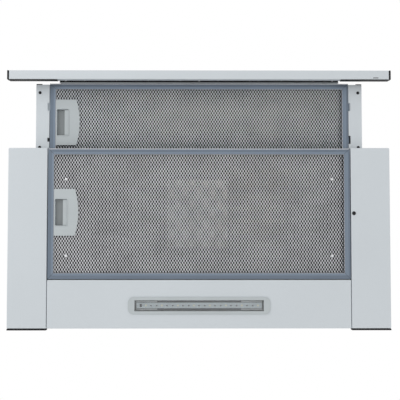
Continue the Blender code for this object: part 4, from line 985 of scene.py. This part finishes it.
class HOOD_OT_neck(bpy.types.Operator):
    """Black strip of painted shade, screws and rivets on the visor's neck, and the pads on its
    flanges
    """

    bl_idname = "hood.neck"
    bl_label = "Neck"

    shade_band_inset = 0.4 * MM
    shade_band_front = 0.2 * MM
    shade_band_back = 5.1 * MM
    shade_band_height = 0.75 * MM
    seat = 0.05 * MM
    line = 1.7 * MM
    end_inset = 10 * MM
    screw_size = (1.7 * MM, 1.1 * MM)
    rivet_size = (1.1 * MM, 0.7 * MM)
    pad_sides = (0.3 * MM, 9.5 * MM)
    pad_front = 0.9 * MM
    pad_back = 0.4 * MM
    pad_below = 0.7 * MM
    pad_above = 1.2 * MM

    def execute(self, context):
        low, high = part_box("visor_front")
        under = low.z - self.shade_band_height
        # Painted shade: a black strip under the visor's front plate stands in for its rear face in
        # shade inside the gap.
        shade_band = block("neck_band", (low.x + self.shade_band_inset, low.y + self.shade_band_front, under),
                     (high.x - self.shade_band_inset, low.y + self.shade_band_back, low.z - SUNK), 0.2 * MM)
        settle(shade_band, "black_plastic", "visor")
        line, face = low.y + self.line, under + self.seat
        ends = high.x - self.end_inset
        screws = [(x, line, face) for x in (-ends, 0, ends)]
        copies("neck_screws", screw_head(*self.screw_size, DOWN), screws,
               "bright_steel", "visor")
        spacing = ends / 4.2
        rivets = [(sign * spacing * (i + 0.6), line, face) for sign in (-1, 1) for i in range(4)]
        copies("neck_rivets", screw_head(*self.rivet_size, DOWN, False), rivets,
               "bright_steel", "visor")
        pads = []
        for side, sign, low, high, outer in sides("visor_"):
            x_low, x_high = sorted(outer - sign * reach for reach in self.pad_sides)
            pads.append(block("pad", (x_low, low.y - self.pad_front, low.z - self.pad_below),
                              (x_high, low.y + self.pad_back, low.z + self.pad_above),
                              0.3 * MM))
        settle(merged("flange_pads", pads), "black_plastic", "visor")
        return {"FINISHED"}


class HOOD_OT_fasteners(bpy.types.Operator):
    """Screws of the visor flanges, casing and collar, and spot welds of the casing"""

    bl_idname = "hood.fasteners"
    bl_label = "Fasteners"

    flange_inset = 6 * MM
    flange_places = (13 * MM, 100 * MM)
    flange_screw = (2.4 * MM, 1.3 * MM)
    rim_margin = 6 * MM
    rim_turn = 0.39
    edge = 9 * MM
    casing_screw = (3 * MM, 1.6 * MM)
    weld_size = (2.6 * MM, 0.3 * MM)
    weld_seat = 0.05 * MM
    weld_top = 9 * MM
    side_welds = 7
    side_weld_foot = 16 * MM
    back_welds = 11
    back_weld_foot = 12 * MM

    def welds(self, name, outward, points):
        copies(name, screw_head(*self.weld_size, outward, False), points,
               "galvanised_steel", "casing")

    def execute(self, context):
        points = []
        for side, sign, low, high, outer in sides("visor_"):
            points += [(outer - sign * self.flange_inset, low.y + place, low.z + SUNK)
                       for place in self.flange_places]
        copies("flange_screws", screw_head(*self.flange_screw, DOWN), points,
               "black_plastic", "visor")

        low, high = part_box("outlet_collar")
        rim = (high.x - low.x) / 2 + self.rim_margin
        ring = ring_points((low + high) / 2, rim, 8, self.rim_turn)
        low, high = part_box("casing_top")
        ring += [(x, y) for x in (low.x + self.edge, high.x - self.edge)
                 for y in (low.y + self.edge, (low.y + high.y) / 2, high.y - self.edge)]
        copies("casing_screws", screw_head(*self.casing_screw, (0, 0, 1)),
               [(x, y, high.z - SUNK) for x, y in ring],
               "bright_steel", "casing")

        for side, sign, low, high, outer in sides("casing_"):
            face = outer - sign * self.weld_seat
            step = (high.y - low.y) / self.side_welds
            self.welds(f"spot_welds_{side}", (sign, 0, 0), [
                (face, low.y + step * (i + 0.5), z) for i in range(self.side_welds)
                for z in (low.z + self.side_weld_foot, high.z - self.weld_top)])
        low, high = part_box("casing_back")
        step = (high.x - low.x) / self.back_welds
        self.welds("spot_welds_back", (0, 1, 0), [
            (low.x + step * (i + 0.5), high.y - self.weld_seat, z) for i in range(self.back_welds)
            for z in (low.z + self.back_weld_foot, high.z - self.weld_top)])
        return {"FINISHED"}


class HOOD_OT_collar(bpy.types.Operator):
    """Swaged beads round the duct collar"""

    bl_idname = "hood.collar"
    bl_label = "Duct collar"

    radius = 62 * MM
    drops = (5 * MM, 9 * MM)
    bead_radius = 0.8 * MM

    def execute(self, context):
        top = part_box("outlet_collar")[1].z
        low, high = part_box("damper_pin")
        ring = ring_points((low + high) / 2, self.radius, 64)
        beads = [rod_loop("bead", [(x, y, top - drop) for x, y in ring], self.bead_radius)
                 for drop in self.drops]
        settle(merged("collar_beads", beads), "black_plastic", "casing")
        return {"FINISHED"}


class HOOD_OT_lamp(bpy.types.Operator):
    """Chips, resistors, end clips and dark channel of the lamp"""

    bl_idname = "hood.lamp"
    bl_label = "Lamp"

    chip_low = (-1.4 * MM, -1.1 * MM, -0.12 * MM)
    chip_high = (1.4 * MM, 1.1 * MM, 0.05 * MM)
    board_rise = 0.68 * MM
    resistor_low = (-0.95 * MM, -0.75 * MM, -0.55 * MM)
    resistor_high = (0.95 * MM, 0.75 * MM, SUNK)
    resistor_shares = (0.32, 0.68)
    resistor_shift = 0.4 * MM
    pad_low = Vector((-9.4 * MM, -2.2 * MM, -0.5 * MM))
    pad_high = Vector((-6.2 * MM, 2.2 * MM, SUNK))
    channel_inset = 0.3 * MM
    channel_low = 0.2 * MM
    channel_high = 0.8 * MM
    clip_start = 65 * MM
    clip_end = 1.5 * MM
    clip_gap = 0.5 * MM
    clip_inset = 0.8 * MM
    clip_depth = 1.2 * MM

    def execute(self, context):
        low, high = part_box("lamp_board")
        xs = sorted({round(vert.co.x, 5) for vert in frame["nodes"]["lamp_board"].data.vertices
                     if vert.co.z < low.z + 0.1 * MM})
        centres = [(a + b) / 2 for a, b in zip(xs[::2], xs[1::2])]
        middle = (low.y + high.y) / 2
        copies("lamp_chip_faces", block("chip", self.chip_low, self.chip_high, 0.08 * MM),
               [(x, middle, low.z) for x in centres], "lamp_chip_face", "casing", "white_board")
        under = low.z + self.board_rise
        pitch = centres[1] - centres[0]
        spots = [(x + pitch * share, middle + self.resistor_shift, under)
                 for x in centres[:-1] for share in self.resistor_shares]
        copies("lamp_resistors",
               block("resistor", self.resistor_low, self.resistor_high, 0.1 * MM), spots,
               "dark_grey_plastic", "casing")
        place = Vector((centres[0], middle, under))
        pad = block("lamp_pad", place + self.pad_low, place + self.pad_high, 0.15 * MM)
        settle(pad, "dark_grey_plastic", "casing")

        window_low, window_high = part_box("lamp_window")
        inset = self.channel_inset
        channel = block("lamp_channel", (window_low.x + inset, window_low.y + inset,
                                         high.z + self.channel_low),
                        (window_high.x - inset, window_high.y - inset,
                         high.z + self.channel_high), 0.2 * MM)
        settle(channel, "slate_sheet", "casing", "dark_grey_plastic")
        clips = []
        for sign in (-1, 1):
            for y_low, y_high in ((window_low.y + self.clip_inset, low.y - self.clip_gap),
                                  (high.y + self.clip_gap, window_high.y - self.clip_inset)):
                start, end = sorted((sign * self.clip_start,
                                     sign * (window_high.x - self.clip_end)))
                clips.append(block("clip", (start, y_low, high.z - self.clip_depth),
                                   (end, y_high, high.z - self.clip_gap), 0.25 * MM))
        settle(merged("lamp_clips", clips), "galvanised_steel", "casing")
        return {"FINISHED"}


class HOOD_OT_button_marks(bpy.types.Operator):
    """Plain raised dots on the buttons: one, two, and a ring for the lamp"""

    bl_idname = "hood.button_marks"
    bl_label = "Button marks"

    dot_size = (0.7 * MM, 0.15 * MM)
    dot_pitch = 2.4 * MM
    ring_radius = 1.7 * MM
    ring_wire = 0.2 * MM

    def execute(self, context):
        for node, count in (("fan_low_button", 1), ("fan_high_button", 2)):
            low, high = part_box(node)
            centre = (low + high) / 2
            points = [(centre.x + (i - (count - 1) / 2) * self.dot_pitch, low.y + SUNK, centre.z)
                      for i in range(count)]
            copies(node + "_mark", screw_head(*self.dot_size, (0, -1, 0), False), points,
                   "printed_white", BODIES[node], "white_board")
        low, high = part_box("lamp_button")
        circle = [(x, low.y, z)
                  for x, z in ring_points(((low + high) / 2).xz, self.ring_radius, 32)]
        settle(rod_loop("lamp_button_mark", circle, self.ring_wire), "printed_white",
               BODIES["lamp_button"], "white_board")
        return {"FINISHED"}


class HOOD_PT_panel(bpy.types.Panel):
    """Hood steps in the sidebar"""

    bl_label = "Range Hood"
    bl_idname = "HOOD_PT_panel"
    bl_space_type = "VIEW_3D"
    bl_region_type = "UI"
    bl_category = "Hood"

    def draw(self, context):
        for group in (context.scene.hood_colours, context.scene.hood_filters,
                      context.scene.hood_stage):
            for name in group.bl_rna.properties.keys():
                if name not in ("rna_type", "name"):
                    self.layout.prop(group, name)
        for step in STEPS:
            self.layout.operator(step.bl_idname)


STEPS = (HOOD_OT_stage, HOOD_OT_finishes, HOOD_OT_sheet_metal, HOOD_OT_filter_mesh,
         HOOD_OT_filter_pack, HOOD_OT_filter_frames, HOOD_OT_latches, HOOD_OT_neck,
         HOOD_OT_fasteners, HOOD_OT_collar, HOOD_OT_lamp, HOOD_OT_button_marks)
SETTINGS = {"hood_colours": HoodColours, "hood_filters": HoodFilters, "hood_stage": HoodStage}
CLASSES = (*SETTINGS.values(), *STEPS, HOOD_PT_panel)


def register():
    for made in CLASSES:
        bpy.utils.register_class(made)
    for name, group in SETTINGS.items():
        setattr(bpy.types.Scene, name, bpy.props.PointerProperty(type=group))


def unregister():
    for name in SETTINGS:
        delattr(bpy.types.Scene, name)
    for made in reversed(CLASSES):
        bpy.utils.unregister_class(made)


def main():
    register()
    for step in STEPS:
        group, name = step.bl_idname.split(".")
        getattr(getattr(bpy.ops, group), name)()


if __name__ == "__main__":
    main()
